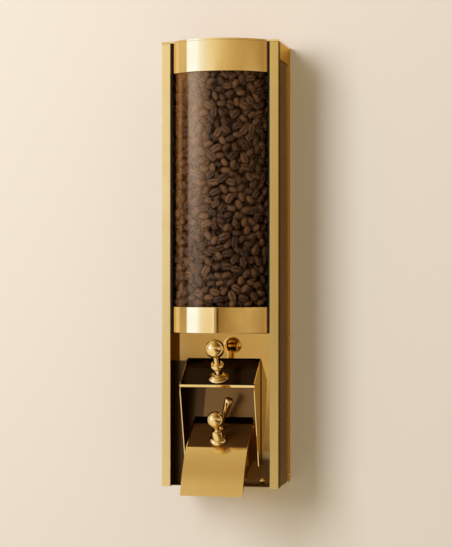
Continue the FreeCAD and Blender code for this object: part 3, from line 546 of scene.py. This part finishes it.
class Workshop:
    """Makes pieces, dresses them and hands them to their bodies."""

    def __init__(self, frame: dict) -> None:
        """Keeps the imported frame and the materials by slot.
        """
        self.nodes: dict[str, bpy.types.Object] = frame["nodes"]
        self.slots = {entry["node"]: Slot(entry["material_slot"])
                      for entry in frame["record"]["subparts"]}
        self.materials = {slot: finish.material() for slot, finish in FINISH_OF_SLOT.items()}

    def dress_nodes(self) -> None:
        """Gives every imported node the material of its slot."""
        for name, thing in self.nodes.items():
            thing.data.materials.clear()
            thing.data.materials.append(self.materials[self.slots[name]])

    def finish_piece(self, name: str, mesh: bmesh.types.BMesh, body: Body, slot: Slot,
                     replaced: Iterable[str] = (), sharp: float = SHARP_ANGLE,
                     material: bpy.types.Material | None = None) -> bpy.types.Object:
        """Turns a bmesh into a piece that rides on its body.

        Args:
            name: the piece's name.
            mesh: the shape, in metres, in the row frame.
            body: the body that it rides on.
            slot: the record's slot for its finish.
            replaced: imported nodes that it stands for.
            sharp: edges with a larger angle than this are not shaded smooth.
            material: a material in place of the slot's own.

        Returns:
            The new object.
        """
        data = bpy.data.meshes.new(name)
        for face in mesh.faces:
            face.smooth = True
        for edge in mesh.edges:
            edge.smooth = edge.calc_face_angle(0.0) < sharp
        mesh.to_mesh(data)
        mesh.free()
        thing = bpy.data.objects.new(name, data)
        bpy.context.scene.collection.objects.link(thing)
        data.materials.append(material or self.materials[slot])
        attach(thing, body.value)
        for node in replaced:
            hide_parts(node)
        LOG.info("%s: %d faces on %s", name, len(data.polygons), body.value)
        return thing

    def soften(self, thing: bpy.types.Object, width: float, segments: int = 3) -> None:
        """Rounds the sharp edges of a piece with a live bevel.

        Args:
            thing: the piece.
            width: the bevel's width in metres.
            segments: faces across the round.
        """
        bevel = thing.modifiers.new("rounded_edges", "BEVEL")
        bevel.width = width
        bevel.segments = segments
        bevel.limit_method = "ANGLE"
        bevel.angle_limit = SHARP_ANGLE
        bevel.harden_normals = True

    def rounded_copy(self, node: str, body: Body, width: float = 0.25 * MM,
                     finish: object = None, facing: Vector | None = None) -> bpy.types.Object:
        """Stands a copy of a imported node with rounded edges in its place.

        Args:
            node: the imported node.
            body: the body that it rides on.
            width: the bevel's width in metres.
            finish: a finish in place of the slot's own.
            facing: where given, only the broad faces along this direction take the finish.

        Returns:
            The new piece.
        """
        mesh = bmesh.new()
        mesh.from_mesh(self.nodes[node].data)
        bmesh.ops.remove_doubles(mesh, verts=mesh.verts, dist=2e-6)
        bmesh.ops.dissolve_limit(mesh, angle_limit=math.radians(0.6), verts=mesh.verts,
                                 edges=mesh.edges)
        if facing is not None:
            mesh.normal_update()
            for face in mesh.faces:
                face.material_index = int(face.normal.dot(facing) > 0.98)
        piece = self.finish_piece(f"{node}_sheet", mesh, body, self.slots[node], [node],
                                  material=finish.material() if finish and not facing else None)
        if facing is not None:
            piece.data.materials.append(finish.material())
        self.soften(piece, width)
        return piece


def spun(outline: Sequence[tuple[float, float]], to_row: Matrix,
         steps: int = 64) -> bmesh.types.BMesh:
    """Spins a half outline (radius, height) in millimetres round its upright axis.

    Args:
        outline: the points from the foot to the top, both on or near the axis.
        to_row: turns the local millimetres into the row frame.
        steps: faces round the turn.

    Returns:
        The closed bmesh.
    """
    mesh = bmesh.new()
    points = [mesh.verts.new((radius, 0.0, height)) for radius, height in outline]
    edges = [mesh.edges.new(pair) for pair in zip(points, points[1:])]
    bmesh.ops.spin(mesh, geom=points + edges, cent=(0, 0, 0), axis=(0, 0, 1),
                   angle=math.tau, steps=steps, use_merge=True, use_duplicate=False)
    bmesh.ops.remove_doubles(mesh, verts=mesh.verts, dist=1e-4)
    bmesh.ops.recalc_face_normals(mesh, faces=mesh.faces)
    bmesh.ops.transform(mesh, matrix=to_row, verts=mesh.verts)
    return mesh


def arc(start: float, stop: float, radius: float, height: float,
        count: int) -> list[tuple[float, float]]:
    """Points of a round in a half outline.

    Args:
        start: first angle above the level, in degrees.
        stop: last angle above the level, in degrees.
        radius: the round's radius.
        height: the height of its centre on the axis.
        count: number of points.

    Returns:
        The points (radius, height).
    """
    angles = [math.radians(start + (stop - start) * step / (count - 1)) for step in range(count)]
    return [(max(radius * math.cos(angle), 0.0), height + radius * math.sin(angle))
            for angle in angles]


def sloped_frame(depth: float, height: float, tilt: float) -> Matrix:
    """Frame whose -Y axis runs down a slope and whose Z axis stands on it.

    Args:
        depth: the origin's depth in millimetres.
        height: the origin's height in millimetres.
        tilt: the slope in degrees.

    Returns:
        The matrix from local millimetres to the row frame.
    """
    return (Matrix.Translation(place(0.0, depth, height))
            @ Matrix.Rotation(math.radians(tilt), 4, "X") @ Matrix.Scale(MM, 4))


@dataclass
class BowedFront:
    """The two bowed bands and the bowed window between them."""

    shop: Workshop
    radius: float = 66.77
    centre_depth: float = 40.77
    half_width: float = 54.0
    band_thick: float = 1.5
    pane_thick: float = 2.0
    steps: int = 96

    def strip(self, outer: float, thick: float, half: float, foot: float,
              top: float) -> bmesh.types.BMesh:
        """A bowed strip of sheet.

        Args:
            outer: its outer radius.
            thick: its thickness.
            half: half of its width.
            foot: height of its lower edge.
            top: height of its upper edge.

        Returns:
            The closed bmesh in the row frame.
        """
        mesh = bmesh.new()
        reach = math.asin(half / outer)
        corners = ((outer, foot), (outer, top), (outer - thick, top), (outer - thick, foot))
        ring = [mesh.verts.new((-radius * math.sin(reach), -radius * math.cos(reach), height))
                for radius, height in corners]
        face = mesh.faces.new(ring)
        bmesh.ops.spin(mesh, geom=[face], cent=(0, 0, 0), axis=(0, 0, 1), angle=2 * reach,
                       steps=self.steps, use_merge=False, use_duplicate=False)
        bmesh.ops.remove_doubles(mesh, verts=mesh.verts, dist=1e-4)
        inner = [face for face in mesh.faces if self.between(face)]
        bmesh.ops.delete(mesh, geom=inner, context="FACES_ONLY")
        bmesh.ops.recalc_face_normals(mesh, faces=mesh.faces)
        to_row = Matrix.Translation(place(0.0, self.centre_depth, 0.0)) @ Matrix.Scale(MM, 4)
        bmesh.ops.transform(mesh, matrix=to_row, verts=mesh.verts)
        return mesh

    def between(self, face: bmesh.types.BMFace) -> bool:
        """Whether a face lies inside the strip, shared by two steps of the turn."""
        return all(len(edge.link_faces) > 2 for edge in face.edges)

    def build(self) -> None:
        """Builds both bands and the window."""
        for name, foot, height in (("upper_band", 459.0, 34.0), ("lower_band", 171.5, 28.5)):
            mesh = self.strip(self.radius, self.band_thick, self.half_width, foot, foot + height)
            band = self.shop.finish_piece(f"{name}_polished", mesh, Body.CASING, Slot.POLISHED,
                                          [name])
            self.shop.soften(band, 0.3 * MM)
        outer = self.radius - self.band_thick - 0.1
        pane = self.strip(outer, self.pane_thick, self.half_width - 0.1, 174.0, 479.0)
        self.shop.finish_piece("window_pane_bent", pane, Body.CASING, Slot.PANE,
                               ["window_pane"])


# Half section of a bean from its crease to its back: depth and half width, as shares of length
BEAN_SECTION = ((-0.08, 0.0), (-0.235, 0.075), (-0.18, 0.27), (0.02, 0.34), (0.22, 0.25),
                (0.31, 0.0))


@dataclass
class BeanBed:
    """Roasted beans behind the window, heaped in layers that follow its bow."""

    shop: Workshop
    centre_depth: float = 40.77
    pane_inner: float = 63.17
    foot: float = 203.0
    top: float = 482.0
    crown_depths: tuple[float, float] = (-20.0, 78.0)
    side_room: float = 55.8
    length: float = 13.2
    spacing: float = 8.4
    darts: int = 14000
    layers: tuple[tuple[float, float], ...] = ((0.3, 1.8), (3.2, 4.8), (6.8, 8.6))
    # tone range of each layer from the glass: random, with painted shade that darkens the deeper
    # layers
    tones_and_depth_shade: tuple[tuple[float, float], ...] = ((0.1, 1.0), (0.0, 0.5), (0.0, 0.2))
    shaded_side: float = 0.45
    back_share: float = 0.74
    crown_rise: tuple[float, float] = (-1.5, 1.5)
    crown_tip: float = 0.25
    tips: tuple[float, float] = (0.22, 0.14)
    sizes: tuple[float, float] = (0.88, 1.06)
    backwards_share: float = 0.6
    backwards_size: float = 0.86
    heap_gap: float = 3.0
    squareness: float = 0.4
    seed: int = 41

    def bean(self) -> bmesh.types.BMesh:
        """One bean of unit length: a round back and a flatter face with its crease.

        Returns:
            The bmesh, its face towards -Y and its length along X.
        """
        mesh = bmesh.new()
        bmesh.ops.create_uvsphere(mesh, u_segments=10, v_segments=6, radius=0.5)
        upright = Matrix.Rotation(math.radians(18), 3, "X") @ Matrix.Rotation(
            math.radians(90), 3, "Y")
        bmesh.ops.rotate(mesh, verts=mesh.verts, cent=(0, 0, 0), matrix=upright)
        crease = mesh.verts.layers.float.new("crease")
        for vert in mesh.verts:
            x, y, z = vert.co
            ring = (2 * math.hypot(y, z)) ** 0.85
            number = round(abs(math.atan2(z, -y)) / math.radians(36))
            depth, half = BEAN_SECTION[number]
            vert[crease] = 1.0 if number == 0 and ring > 0.3 else 0.0
            swerve = 0.05 * math.sin(math.tau * x) if number < 2 else 0.0
            vert.co = (x, depth * ring, math.copysign(half * ring, z) + swerve)
        bmesh.ops.recalc_face_normals(mesh, faces=mesh.faces)
        return mesh

    def spots(self, radius: float, rng: random.Random) -> list[tuple[float, float]]:
        """Scattered places of one layer, none closer than the spacing.

        Args:
            radius: the layer's distance from the bow's axis in millimetres.
            rng: the source of chance.

        Returns:
            Places as (angle from the middle, height).
        """
        reach = math.asin(min((self.side_room - self.length * 0.2) / radius, 0.97)) * radius
        cells: dict[tuple[int, int], list[tuple[float, float]]] = {}
        for _ in range(self.darts):
            across, height = rng.uniform(-reach, reach), rng.uniform(self.foot, self.top)
            column, row = int(across // self.spacing), int(height // self.spacing)
            near = [spot for side in (-1, 0, 1) for level in (-1, 0, 1)
                    for spot in cells.get((column + side, row + level), ())]
            if all(math.dist((across, height), spot) > self.spacing for spot in near):
                cells.setdefault((column, row), []).append((across, height))
        return [(across / radius, height) for cell in cells.values() for across, height in cell]

    def pose(self, angle: float, height: float, radius: float, rng: random.Random) -> Matrix:
        """Where one bean lies and how it is turned.

        Args:
            angle: angle from the middle of the bow.
            height: height above the body's foot.
            radius: distance from the bow's axis.
            rng: the source of chance.

        Returns:
            The matrix from the unit bean to the row frame.
        """
        depth = self.centre_depth - radius * math.cos(angle)
        where = place(radius * math.sin(angle), depth, height)
        backwards = rng.random() < self.backwards_share
        size = (self.length * rng.uniform(*self.sizes)
                * (self.backwards_size if backwards else 1.0) * MM)
        tipped = Matrix.Rotation(rng.gauss(0.0, self.tips[0]), 4, "X") @ Matrix.Rotation(
            rng.gauss(0.0, self.tips[1]), 4, "Z")
        flipped = Matrix.Rotation(math.pi * backwards, 4, "Z")
        spin = Matrix.Rotation(rng.uniform(0, math.pi), 4, "Y")
        return (Matrix.Translation(where) @ Matrix.Rotation(angle, 4, "Z") @ tipped @ spin
                @ flipped @ Matrix.Scale(size, 4))

    def settle(self, mesh: bmesh.types.BMesh, verts: list[bmesh.types.BMVert],
               depth: float) -> None:
        """Moves a bean back from the glass and in from the hopper's sides.

        Args:
            mesh: the layer's bmesh.
            verts: the bean's vertices.
            depth: the bean's distance behind the glass in millimetres.
        """
        axis = place(0.0, self.centre_depth, 0.0).xy
        outward = sum((vert.co.xy - axis for vert in verts), Vector((0.0, 0.0))).normalized()
        reach = max((vert.co.xy - axis).length for vert in verts)
        shift = outward * ((self.pane_inner - depth) * MM - reach)
        right = max(vert.co.x for vert in verts) + shift.x - self.side_room * MM
        left = min(vert.co.x for vert in verts) + shift.x + self.side_room * MM
        aside = -max(right, 0.0) - min(left, 0.0)
        bmesh.ops.translate(mesh, verts=verts, vec=(shift.x + aside, shift.y, 0.0))

    def empty_layer(self) -> bmesh.types.BMesh:
        """Starts a layer whose vertices carry a tone and a crease."""
        mesh = bmesh.new()
        for name in ("tone", "crease"):
            mesh.verts.layers.float.new(name)
        return mesh

    def add_bean(self, mesh: bmesh.types.BMesh, template: bpy.types.Mesh, shade: float,
                 pose: Matrix) -> list[bmesh.types.BMVert]:
        """Adds one bean to a layer.

        Args:
            mesh: the layer's bmesh.
            template: the unit bean.
            shade: the bean's tone, random and with its painted shade.
            pose: the matrix from the unit bean to the row frame.

        Returns:
            The bean's vertices.
        """
        before = len(mesh.verts)
        mesh.from_mesh(template)
        mesh.verts.ensure_lookup_table()
        fresh = mesh.verts[before:]
        tone = mesh.verts.layers.float["tone"]
        for vert in fresh:
            vert[tone] = shade
        bmesh.ops.transform(mesh, matrix=pose, verts=fresh)
        return fresh

    def layer(self, number: int, template: bpy.types.Mesh,
              rng: random.Random) -> bmesh.types.BMesh:
        """One layer of beans.

        Args:
            number: the layer's number from the glass.
            template: the unit bean.
            rng: the source of chance.

        Returns:
            The layer's bmesh, each bean with its own tone and painted shade.
        """
        mesh = self.empty_layer()
        nearest, furthest = self.layers[number]
        radius = self.pane_inner - nearest - self.length * 0.3
        for angle, height in self.spots(radius, rng):
            shade = rng.uniform(*self.tones_and_depth_shade[number])
            # painted shade: beans towards the right of the bow are darker
            shade *= 1.0 - self.shaded_side * max(0.0, math.sin(angle))
            fresh = self.add_bean(mesh, template, shade, self.pose(angle, height, radius, rng))
            self.settle(mesh, fresh, rng.uniform(nearest, furthest))
        return mesh

    def crown(self, template: bpy.types.Mesh, rng: random.Random) -> bmesh.types.BMesh:
        """Beans lying on top of the heap, seen when the lid is open.

        Args:
            template: the unit bean.
            rng: the source of chance.

        Returns:
            The crown's bmesh, each bean with its own tone.
        """
        mesh = self.empty_layer()
        room = self.side_room - self.length * 0.6
        spots: list[tuple[float, float]] = []
        for _ in range(self.darts // 4):
            spot = (rng.uniform(-room, room), rng.uniform(*self.crown_depths))
            bow = math.hypot(spot[0], min(spot[1] - self.centre_depth, 0.0))
            clear = all(math.dist(spot, other) > self.spacing for other in spots)
            if clear and bow < self.pane_inner - self.length * 0.7:
                spots.append(spot)
        for across, depth in spots:
            shade = rng.uniform(*self.tones_and_depth_shade[0])
            where = place(across, depth, self.top + rng.uniform(*self.crown_rise))
            lying = (Matrix.Translation(where)
                     @ Matrix.Rotation(rng.uniform(0.0, math.tau), 4, "Z")
                     @ Matrix.Rotation(rng.gauss(-math.pi / 2, self.crown_tip), 4, "X")
                     @ Matrix.Rotation(math.pi * (rng.random() < self.backwards_share), 4, "Z")
                     @ Matrix.Scale(self.length * MM, 4))
            self.add_bean(mesh, template, shade, lying)
        return mesh

    def bed(self) -> bmesh.types.BMesh:
        """Dark heap behind the layers, bowed as they are.

        Returns:
            The closed bmesh.
        """
        mesh = bmesh.new()
        radius = self.pane_inner - self.layers[-1][1] - self.heap_gap
        bmesh.ops.create_cone(mesh, cap_ends=True, segments=72, radius1=radius, radius2=radius,
                              depth=self.top - self.foot)
        bmesh.ops.bevel(mesh, geom=[edge for edge in mesh.edges if edge.calc_face_angle() > 1.0],
                        offset=2.0, offset_type="OFFSET", segments=2, profile=0.5,
                        affect="EDGES", material=-1)
        for vert in mesh.verts:
            if vert.co.y > 0.0:
                vert.co.x = math.copysign(abs(vert.co.x / radius) ** self.squareness,
                                          vert.co.x) * radius
                vert.co.y = (vert.co.y / radius) ** self.squareness * radius * self.back_share
        middle = place(0.0, self.centre_depth, (self.foot + self.top) / 2)
        bmesh.ops.transform(mesh, matrix=Matrix.Translation(middle) @ Matrix.Scale(MM, 4),
                            verts=mesh.verts)
        return mesh

    def build(self) -> None:
        """Builds the layers of beans and the dark heap behind them."""
        rng = random.Random(self.seed)
        unit = self.bean()
        template = bpy.data.meshes.new("bean_template")
        unit.to_mesh(template)
        unit.free()
        material = BEAN_SKIN.material()
        for number in range(len(self.layers)):
            self.shop.finish_piece(f"coffee_beans_layer_{number + 1}",
                                   self.layer(number, template, rng), Body.CASING, Slot.LINER,
                                   material=material, sharp=math.pi)
        self.shop.finish_piece("coffee_beans_crown", self.crown(template, rng), Body.CASING,
                               Slot.LINER, material=material, sharp=math.pi)
        bpy.data.meshes.remove(template)
        # the heap has no tone, so it takes the beans' darkest colour: painted shade deep in the
        # pile
        self.shop.finish_piece("coffee_bean_heap", self.bed(), Body.CASING, Slot.LINER,
                               material=material)


@dataclass
class SlideKnob:
    """Ball knob of the shut-off slide with its collar and bell base."""

    shop: Workshop
    down: float = 34.6
    frame: Matrix = field(default_factory=lambda: sloped_frame(24.0, 141.0, 33.2))

    def build(self) -> None:
        """Spins the base and the knob."""
        stand = self.frame @ Matrix.Translation((0, -self.down, 0))
        base = [(0.0, 0.0), (11.2, 0.0), (11.5, 0.3), (11.5, 0.9)]
        for step in range(1, 15):
            share = step / 14
            base.append((11.5 - 6.6 * share, 1.2 + 3.6 * math.sin(share * math.pi / 2) ** 1.1))
        base += [(4.9, 4.8), (0.0, 4.8)]
        self.shop.finish_piece("slide_knob_base_turned", spun(base, stand), Body.SLIDE,
                               Slot.POLISHED, ["slide_knob_base"])
        knob = [(0.0, 4.8), (4.9, 4.8), (4.9, 12.9), (5.3, 13.2), (6.4, 13.3)]
        knob += [(6.4 + 1.1 * math.sin(math.pi * step / 10), 13.3 + 5.5 * step / 10)
                 for step in range(1, 10)]
        knob += [(6.4, 18.8), (4.7, 18.9), (4.2, 19.3), (4.2, 28.6)]
        knob += arc(-66.0, 90.0, 10.6, 38.8, 40)
        self.shop.finish_piece("slide_knob_turned", spun(knob, stand), Body.SLIDE,
                               Slot.POLISHED, ["slide_knob"])


@dataclass
class FlapKnob:
    """Ball knob of the pouring flap, its rosette and the leaning lever."""

    shop: Workshop
    down: float = 30.0
    seat: float = 2.9
    frame: Matrix = field(default_factory=lambda: sloped_frame(19.5, 66.54, 34.0))

    def build(self) -> None:
        """Spins the rosette, the knob, the lever and its boss."""
        stand = self.frame @ Matrix.Translation((0, -self.down, self.seat))
        rosette = [(0.0, 0.0), (9.7, 0.0), (10.0, 0.3), (10.0, 1.5), (9.85, 2.5), (9.4, 3.5),
                   (8.8, 4.4), (8.1, 5.1), (7.5, 5.4), (7.2, 5.5), (0.0, 5.5)]
        self.shop.finish_piece("flap_knob_rosette_turned", spun(rosette, stand), Body.FLAP,
                               Slot.POLISHED, ["flap_knob_rosette"])
        knob = [(0.0, 5.5), (6.9, 5.5), (5.5, 13.2), (5.2, 13.6), (4.2, 14.1), (3.1, 14.5),
                (2.75, 15.2), (2.75, 20.6)]
        knob += arc(-72.0, 90.0, 9.3, 29.8, 40)
        self.shop.finish_piece("flap_knob_turned", spun(knob, stand), Body.FLAP,
                               Slot.POLISHED, ["flap_knob"])
        foot = self.frame @ Matrix.Translation((-1.6, -9.0, self.seat))
        lever = [(0.0, 0.8), (2.2, 0.8), (2.3, 11.0), (2.7, 17.0), (3.3, 24.0), (4.6, 39.0),
                 (4.75, 41.8), (4.6, 43.4), (4.1, 44.5), (3.2, 45.1), (2.0, 45.2), (0.0, 45.2)]
        lean = foot @ Matrix.Rotation(math.radians(19.5), 4, "Y")
        self.shop.finish_piece("flap_lever_turned", spun(lever, lean, 40), Body.FLAP,
                               Slot.POLISHED, ["flap_lever"])
        boss = [(0.0, 0.0), (4.8, 0.0), (5.0, 0.3), (5.0, 2.4), (4.6, 2.9), (4.0, 3.0), (0.0, 3.0)]
        self.shop.finish_piece("flap_lever_boss_turned", spun(boss, foot, 40), Body.FLAP,
                               Slot.POLISHED, ["flap_lever_boss"])


@dataclass
class SheetPieces:
    """Folded and flat sheet pieces, shown with softened edges."""

    shop: Workshop
    casing: tuple[str, ...] = (
        "left_stile", "right_stile", "left_top_rail",
        "right_top_rail", "left_side_panel", "right_side_panel", "back_tray",
        "outlet_tray", "lid_hinge_rail", "frame_hinge_leaf")
    slide_tilt: float = 33.2
    flap_tilt: float = 34.0

    def upward(self, tilt: float) -> Vector:
        """Direction square to a plate that slopes down to the front by an angle."""
        return Matrix.Rotation(math.radians(tilt), 3, "X") @ Vector((0, 0, 1))

    def build(self) -> None:
        """Builds every sheet piece."""
        for node in self.casing:
            self.shop.rounded_copy(node, Body.CASING)
        rightward = Vector((1, 0, 0))
        # the posts' side faces take darker brass, painted reflection of the wall's shadow
        self.shop.rounded_copy("left_post", Body.CASING, 0.9 * MM, POST_SHADE_SIDE, rightward)
        post = self.shop.rounded_copy("right_post", Body.CASING, 0.9 * MM, POST_SHADE_SIDE, rightward)
        # the right post's front takes the darker satin brass, painted shade
        post.data.materials[0] = SHADED_SATIN.material()
        # the left cheek's inner face takes painted shade
        self.shop.rounded_copy("left_hood_cheek", Body.CASING, finish=CHEEK_SHADE_FACE,
                               facing=rightward)
        # the right cheek's outer face takes a painted reflection
        self.shop.rounded_copy("right_hood_cheek", Body.CASING, finish=CHEEK_REFLECTION_FACE,
                               facing=rightward)
        self.shop.rounded_copy("panel_screws", Body.CASING, 0.15 * MM, POLISHED_BRASS)
        # the front panel takes painted shade inside the hood
        self.shop.rounded_copy("front_panel", Body.CASING, finish=HOOD_SHADE_PANEL)
        # the slide's upper face takes near-black painted shade
        self.shop.rounded_copy("slide_plate", Body.SLIDE, finish=SLIDE_SHADE_FACE,
                               facing=self.upward(self.slide_tilt))
        # the flap's upper face takes painted shade
        self.shop.rounded_copy("flap_plate", Body.FLAP, 0.2 * MM, FLAP_SHADE_FACE,
                               self.upward(self.flap_tilt))
        self.shop.rounded_copy("fill_lid", Body.LID)
        self.shop.rounded_copy("lid_hinge_leaf", Body.LID, 0.15 * MM)


@dataclass
class Studio:
    """Wall, light and camera."""

    wall_colour: tuple[float, float, float] = (0.86, 0.76, 0.63)
    ambient: tuple[float, float, float] = (0.455, 0.41, 0.305)
    backdrop: tuple[float, float, float] = (0.93, 0.90, 0.86)
    turn: float = 11.23
    focal: float = 121.8
    camera_place: tuple[float, float, float] = (0.406, -2.097, -0.0105)
    lamp_place: tuple[float, float, float] = (-1.0, -1.95, 0.66)
    lamp_target: tuple[float, float, float] = (0.0, -0.05, 0.0)
    lamp_size: tuple[float, float] = (1.0, 1.4)
    lamp_watts: float = 42.0
    lamp_colour: tuple[float, float, float] = (0.81, 0.86, 1.0)
    wall_reach: float = 3.0
    wall_gap: float = 0.0006
    back_gap: float = 0.008

    def wall(self) -> None:
        """Plain pale wall behind the bin, seen from its front only.

        It lets rays through from within its gap to the bin, so the bin's back isn't black.
        """
        mesh = bmesh.new()
        bmesh.ops.create_grid(mesh, x_segments=1, y_segments=1, size=self.wall_reach)
        bmesh.ops.rotate(mesh, verts=mesh.verts, cent=(0, 0, 0),
                         matrix=Matrix.Rotation(math.radians(90), 3, "X"))
        bmesh.ops.translate(mesh, verts=mesh.verts, vec=(0, self.wall_gap, 0))
        data = bpy.data.meshes.new("pale_wall")
        mesh.to_mesh(data)
        mesh.free()
        wall = bpy.data.objects.new("pale_wall", data)
        bpy.context.scene.collection.objects.link(wall)
        nodes = Nodes("pale_wall_paint")
        paint = nodes.add("ShaderNodeBsdfDiffuse", Color=(*self.wall_colour, 1.0))
        nodes.join(nodes.bump(nodes.noise((300.0,) * 3), 0.15, 0.0002), paint.inputs["Normal"])
        clear = nodes.add("ShaderNodeBsdfTransparent")
        facing = nodes.add("ShaderNodeNewGeometry")
        rays = nodes.add("ShaderNodeLightPath")
        touching = nodes.sum("LESS_THAN", rays.outputs["Ray Length"], self.back_gap)
        mix = nodes.add("ShaderNodeMixShader")
        nodes.join(nodes.sum("MAXIMUM", facing.outputs["Backfacing"], touching), mix.inputs[0])
        nodes.join(paint.outputs[0], mix.inputs[1])
        nodes.join(clear.outputs[0], mix.inputs[2])
        nodes.join(mix.outputs[0], nodes.output.inputs["Surface"])
        data.materials.append(nodes.material)

    def world(self) -> None:
        """Soft surround: plain to matt surfaces, bright and dark uprights to metal and glass."""
        nodes = Nodes("studio", world=True)
        bpy.context.scene.world = nodes.material
        split = nodes.add("ShaderNodeSeparateXYZ")
        nodes.join(nodes.add("ShaderNodeTexCoord").outputs["Generated"], split.inputs[0])
        forward = nodes.sum("MULTIPLY", split.outputs["Y"], -1.0)
        azimuth = nodes.sum("ARCTAN2", split.outputs["X"], forward)
        share = nodes.spread(azimuth, 0.0, 1.0, -math.pi, math.pi)
        seen = None
        for low, high, levels in SURROUND:
            stops = [((angle + 180.0) / 360.0, self.tone(level)) for angle, level in levels]
            zone = nodes.ramp(share, stops)
            if seen is None:
                seen = zone
                continue
            rise = nodes.spread(split.outputs["Z"], 0.0, 1.0, math.sin(math.radians(low)),
                                math.sin(math.radians(high)))
            seen = nodes.blend(rise, seen, zone)
        rays = nodes.add("ShaderNodeLightPath")
        lit = nodes.blend(rays.outputs["Is Glossy Ray"], self.ambient, seen)
        pale = nodes.blend(rays.outputs["Is Camera Ray"], lit, self.backdrop)
        background = nodes.add("ShaderNodeBackground")
        nodes.join(pale, background.inputs["Color"])
        nodes.join(background.outputs[0], nodes.output.inputs["Surface"])

    def tone(self, level: float) -> tuple[float, float, float]:
        """Colour of the surround at a level: dim parts are warm, bright ones neutral.

        Args:
            level: the level.

        Returns:
            The colour.
        """
        share, over = min(level, 1.0), max(level - 1.0, 0.0)
        return (share + 0.09 * over, share * (0.5 + 0.5 * share) + 0.27 * over,
                share * (0.22 + 0.72 * share ** 2) + 0.94 * over)

    def key_light(self) -> None:
        """Adds one broad soft lamp from the left, which shows in no reflection."""
        data = bpy.data.lights.new("key_light", "AREA")
        data.shape = "RECTANGLE"
        data.size, data.size_y = self.lamp_size
        data.energy = self.lamp_watts
        data.color = self.lamp_colour
        lamp = bpy.data.objects.new("key_light", data)
        lamp.location = self.lamp_place
        aim = Vector(self.lamp_target) - Vector(self.lamp_place)
        lamp.rotation_euler = aim.to_track_quat("-Z", "Y").to_euler()
        lamp.visible_glossy = False
        bpy.context.scene.collection.objects.link(lamp)

    def camera(self) -> None:
        """Camera at the photograph's angle, level with the window's lower half."""
        data = bpy.data.cameras.new("camera")
        data.lens = self.focal
        data.sensor_width = 36.0
        camera = bpy.data.objects.new("camera", data)
        camera.location = self.camera_place
        camera.rotation_euler = (math.radians(90), 0.0, math.radians(self.turn))
        bpy.context.scene.collection.objects.link(camera)
        bpy.context.scene.camera = camera

    def build(self) -> None:
        """Builds the wall, the light and the camera."""
        self.wall()
        self.world()
        self.key_light()
        self.camera()
        bpy.context.scene.view_settings.view_transform = "Standard"


# Level of the surround by azimuth from the front, positive to the right, in degrees
UNDER = ((-180, 0.85), (0, 1.0), (30, 0.5), (80, 0.15), (180, 0.85))
FLOOR = ((-180, 0.5), (-80, 1.2), (-4, 1.15), (10, 0.4), (30, 0.12), (60, 0.1), (110, 0.2),
         (180, 0.5))
RECESS_LEFT = ((-180, 0.5), (-60, 1.1), (-13.4, 1.1), (-13.0, 0.05), (-11.8, 0.05))
RECESS_RIGHT = ((11.8, 0.04), (18, 0.05), (40, 0.1), (55, 1.4), (70, 1.4), (80, 0.5),
                (180, 0.5))
LOW_RECESS = ((-180, 0.5), (-60, 1.7), (-13.4, 1.7), (-13.0, 0.05), (-9.3, 0.07),
              (-9.0, 1.5), (0, 1.0), (11, 0.5), *RECESS_RIGHT)
RECESS = (*RECESS_LEFT, (-11.5, 0.4), (-10.2, 0.4), (-9.9, 0.25), (-9.5, 0.25),
          (-9.2, 0.75), (11, 0.6), *RECESS_RIGHT)
HIGH_RECESS = (*RECESS_LEFT, (-11.5, 0.5), (-10.2, 0.6), (-9.9, 0.66), (-9.2, 0.75),
               (11, 0.7), *RECESS_RIGHT)
LEVEL = ((-180, 0.5), (-118, 0.7), (-109, 0.63), (-74, 0.63), (-71.5, 3.6), (-50, 3.6),
         (-40, 1.8), (-30, 1.25), (-20, 1.1), (-16, 1.5), (-13.4, 1.5), (-12.8, 0.48),
         (-11.8, 0.5), (-9.8, 0.66), (-9.0, 0.05), (-5, 0.05), (-4.2, 0.32), (0, 0.36),
         (6, 0.42), (18, 0.57), (37, 0.66), (60, 0.55), (86, 0.46), (95, 0.6), (105, 0.5),
         (180, 0.5))
RAISED = ((-180, 0.4), (-118, 0.2), (-109, 0.2), (-74, 0.2), (-71.5, 3.6), (-50, 3.6),
          (-40, 2.0), (-30, 1.9), (-13.2, 1.9), (-11, 0.6), (-6, 0.4), (12, 0.4),
          (40, 0.5), (55, 1.0), (70, 1.0), (90, 0.5), (180, 0.5))
TOP = ((-180, 0.5), (-118, 0.8), (-109, 0.85), (-74, 0.85), (-71.5, 3.6), (-50, 3.6),
       (-40, 2.3), (-30, 1.6), (-20, 1.2), (-10, 0.96), (0, 0.86), (15, 0.74), (30, 0.66),
       (50, 0.59), (70, 0.53), (85, 0.45), (97, 0.6), (110, 0.5), (180, 0.5))
HIGH = ((-180, 0.3), (-110, 0.3), (-85, 0.4), (-72, 2.4), (-50, 2.4), (-40, 0.9), (-20, 0.75),
        (0, 0.45), (20, 0.25), (60, 0.12), (100, 0.12), (180, 0.3))
OVERHEAD = ((-180, 0.75), (-60, 0.75), (0, 0.45), (60, 0.15), (180, 0.4))
# Zones from below to above, each with the elevations between which it takes over
SURROUND = ((-90.0, -90.0, UNDER), (-32.0, -26.0, FLOOR), (-8.5, -7.5, LOW_RECESS),
            (-5.7, -5.2, RECESS), (-4.9, -3.2, HIGH_RECESS), (-2.75, -2.55, LEVEL),
            (-0.95, -0.8, RAISED), (5.7, 6.1, TOP), (20.0, 30.0, HIGH), (42.0, 50.0, OVERHEAD))


def main() -> None:
    """Builds the sub-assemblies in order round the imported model."""
    logging.basicConfig(level=logging.INFO, format="%(message)s")
    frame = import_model()
    shop = Workshop(frame)
    shop.dress_nodes()
    steps: tuple[Callable[[], None], ...] = (
        SheetPieces(shop).build, BowedFront(shop).build, BeanBed(shop).build,
        SlideKnob(shop).build, FlapKnob(shop).build, Studio().build)
    for step in steps:
        step()


if __name__ == "__main__":
    main()
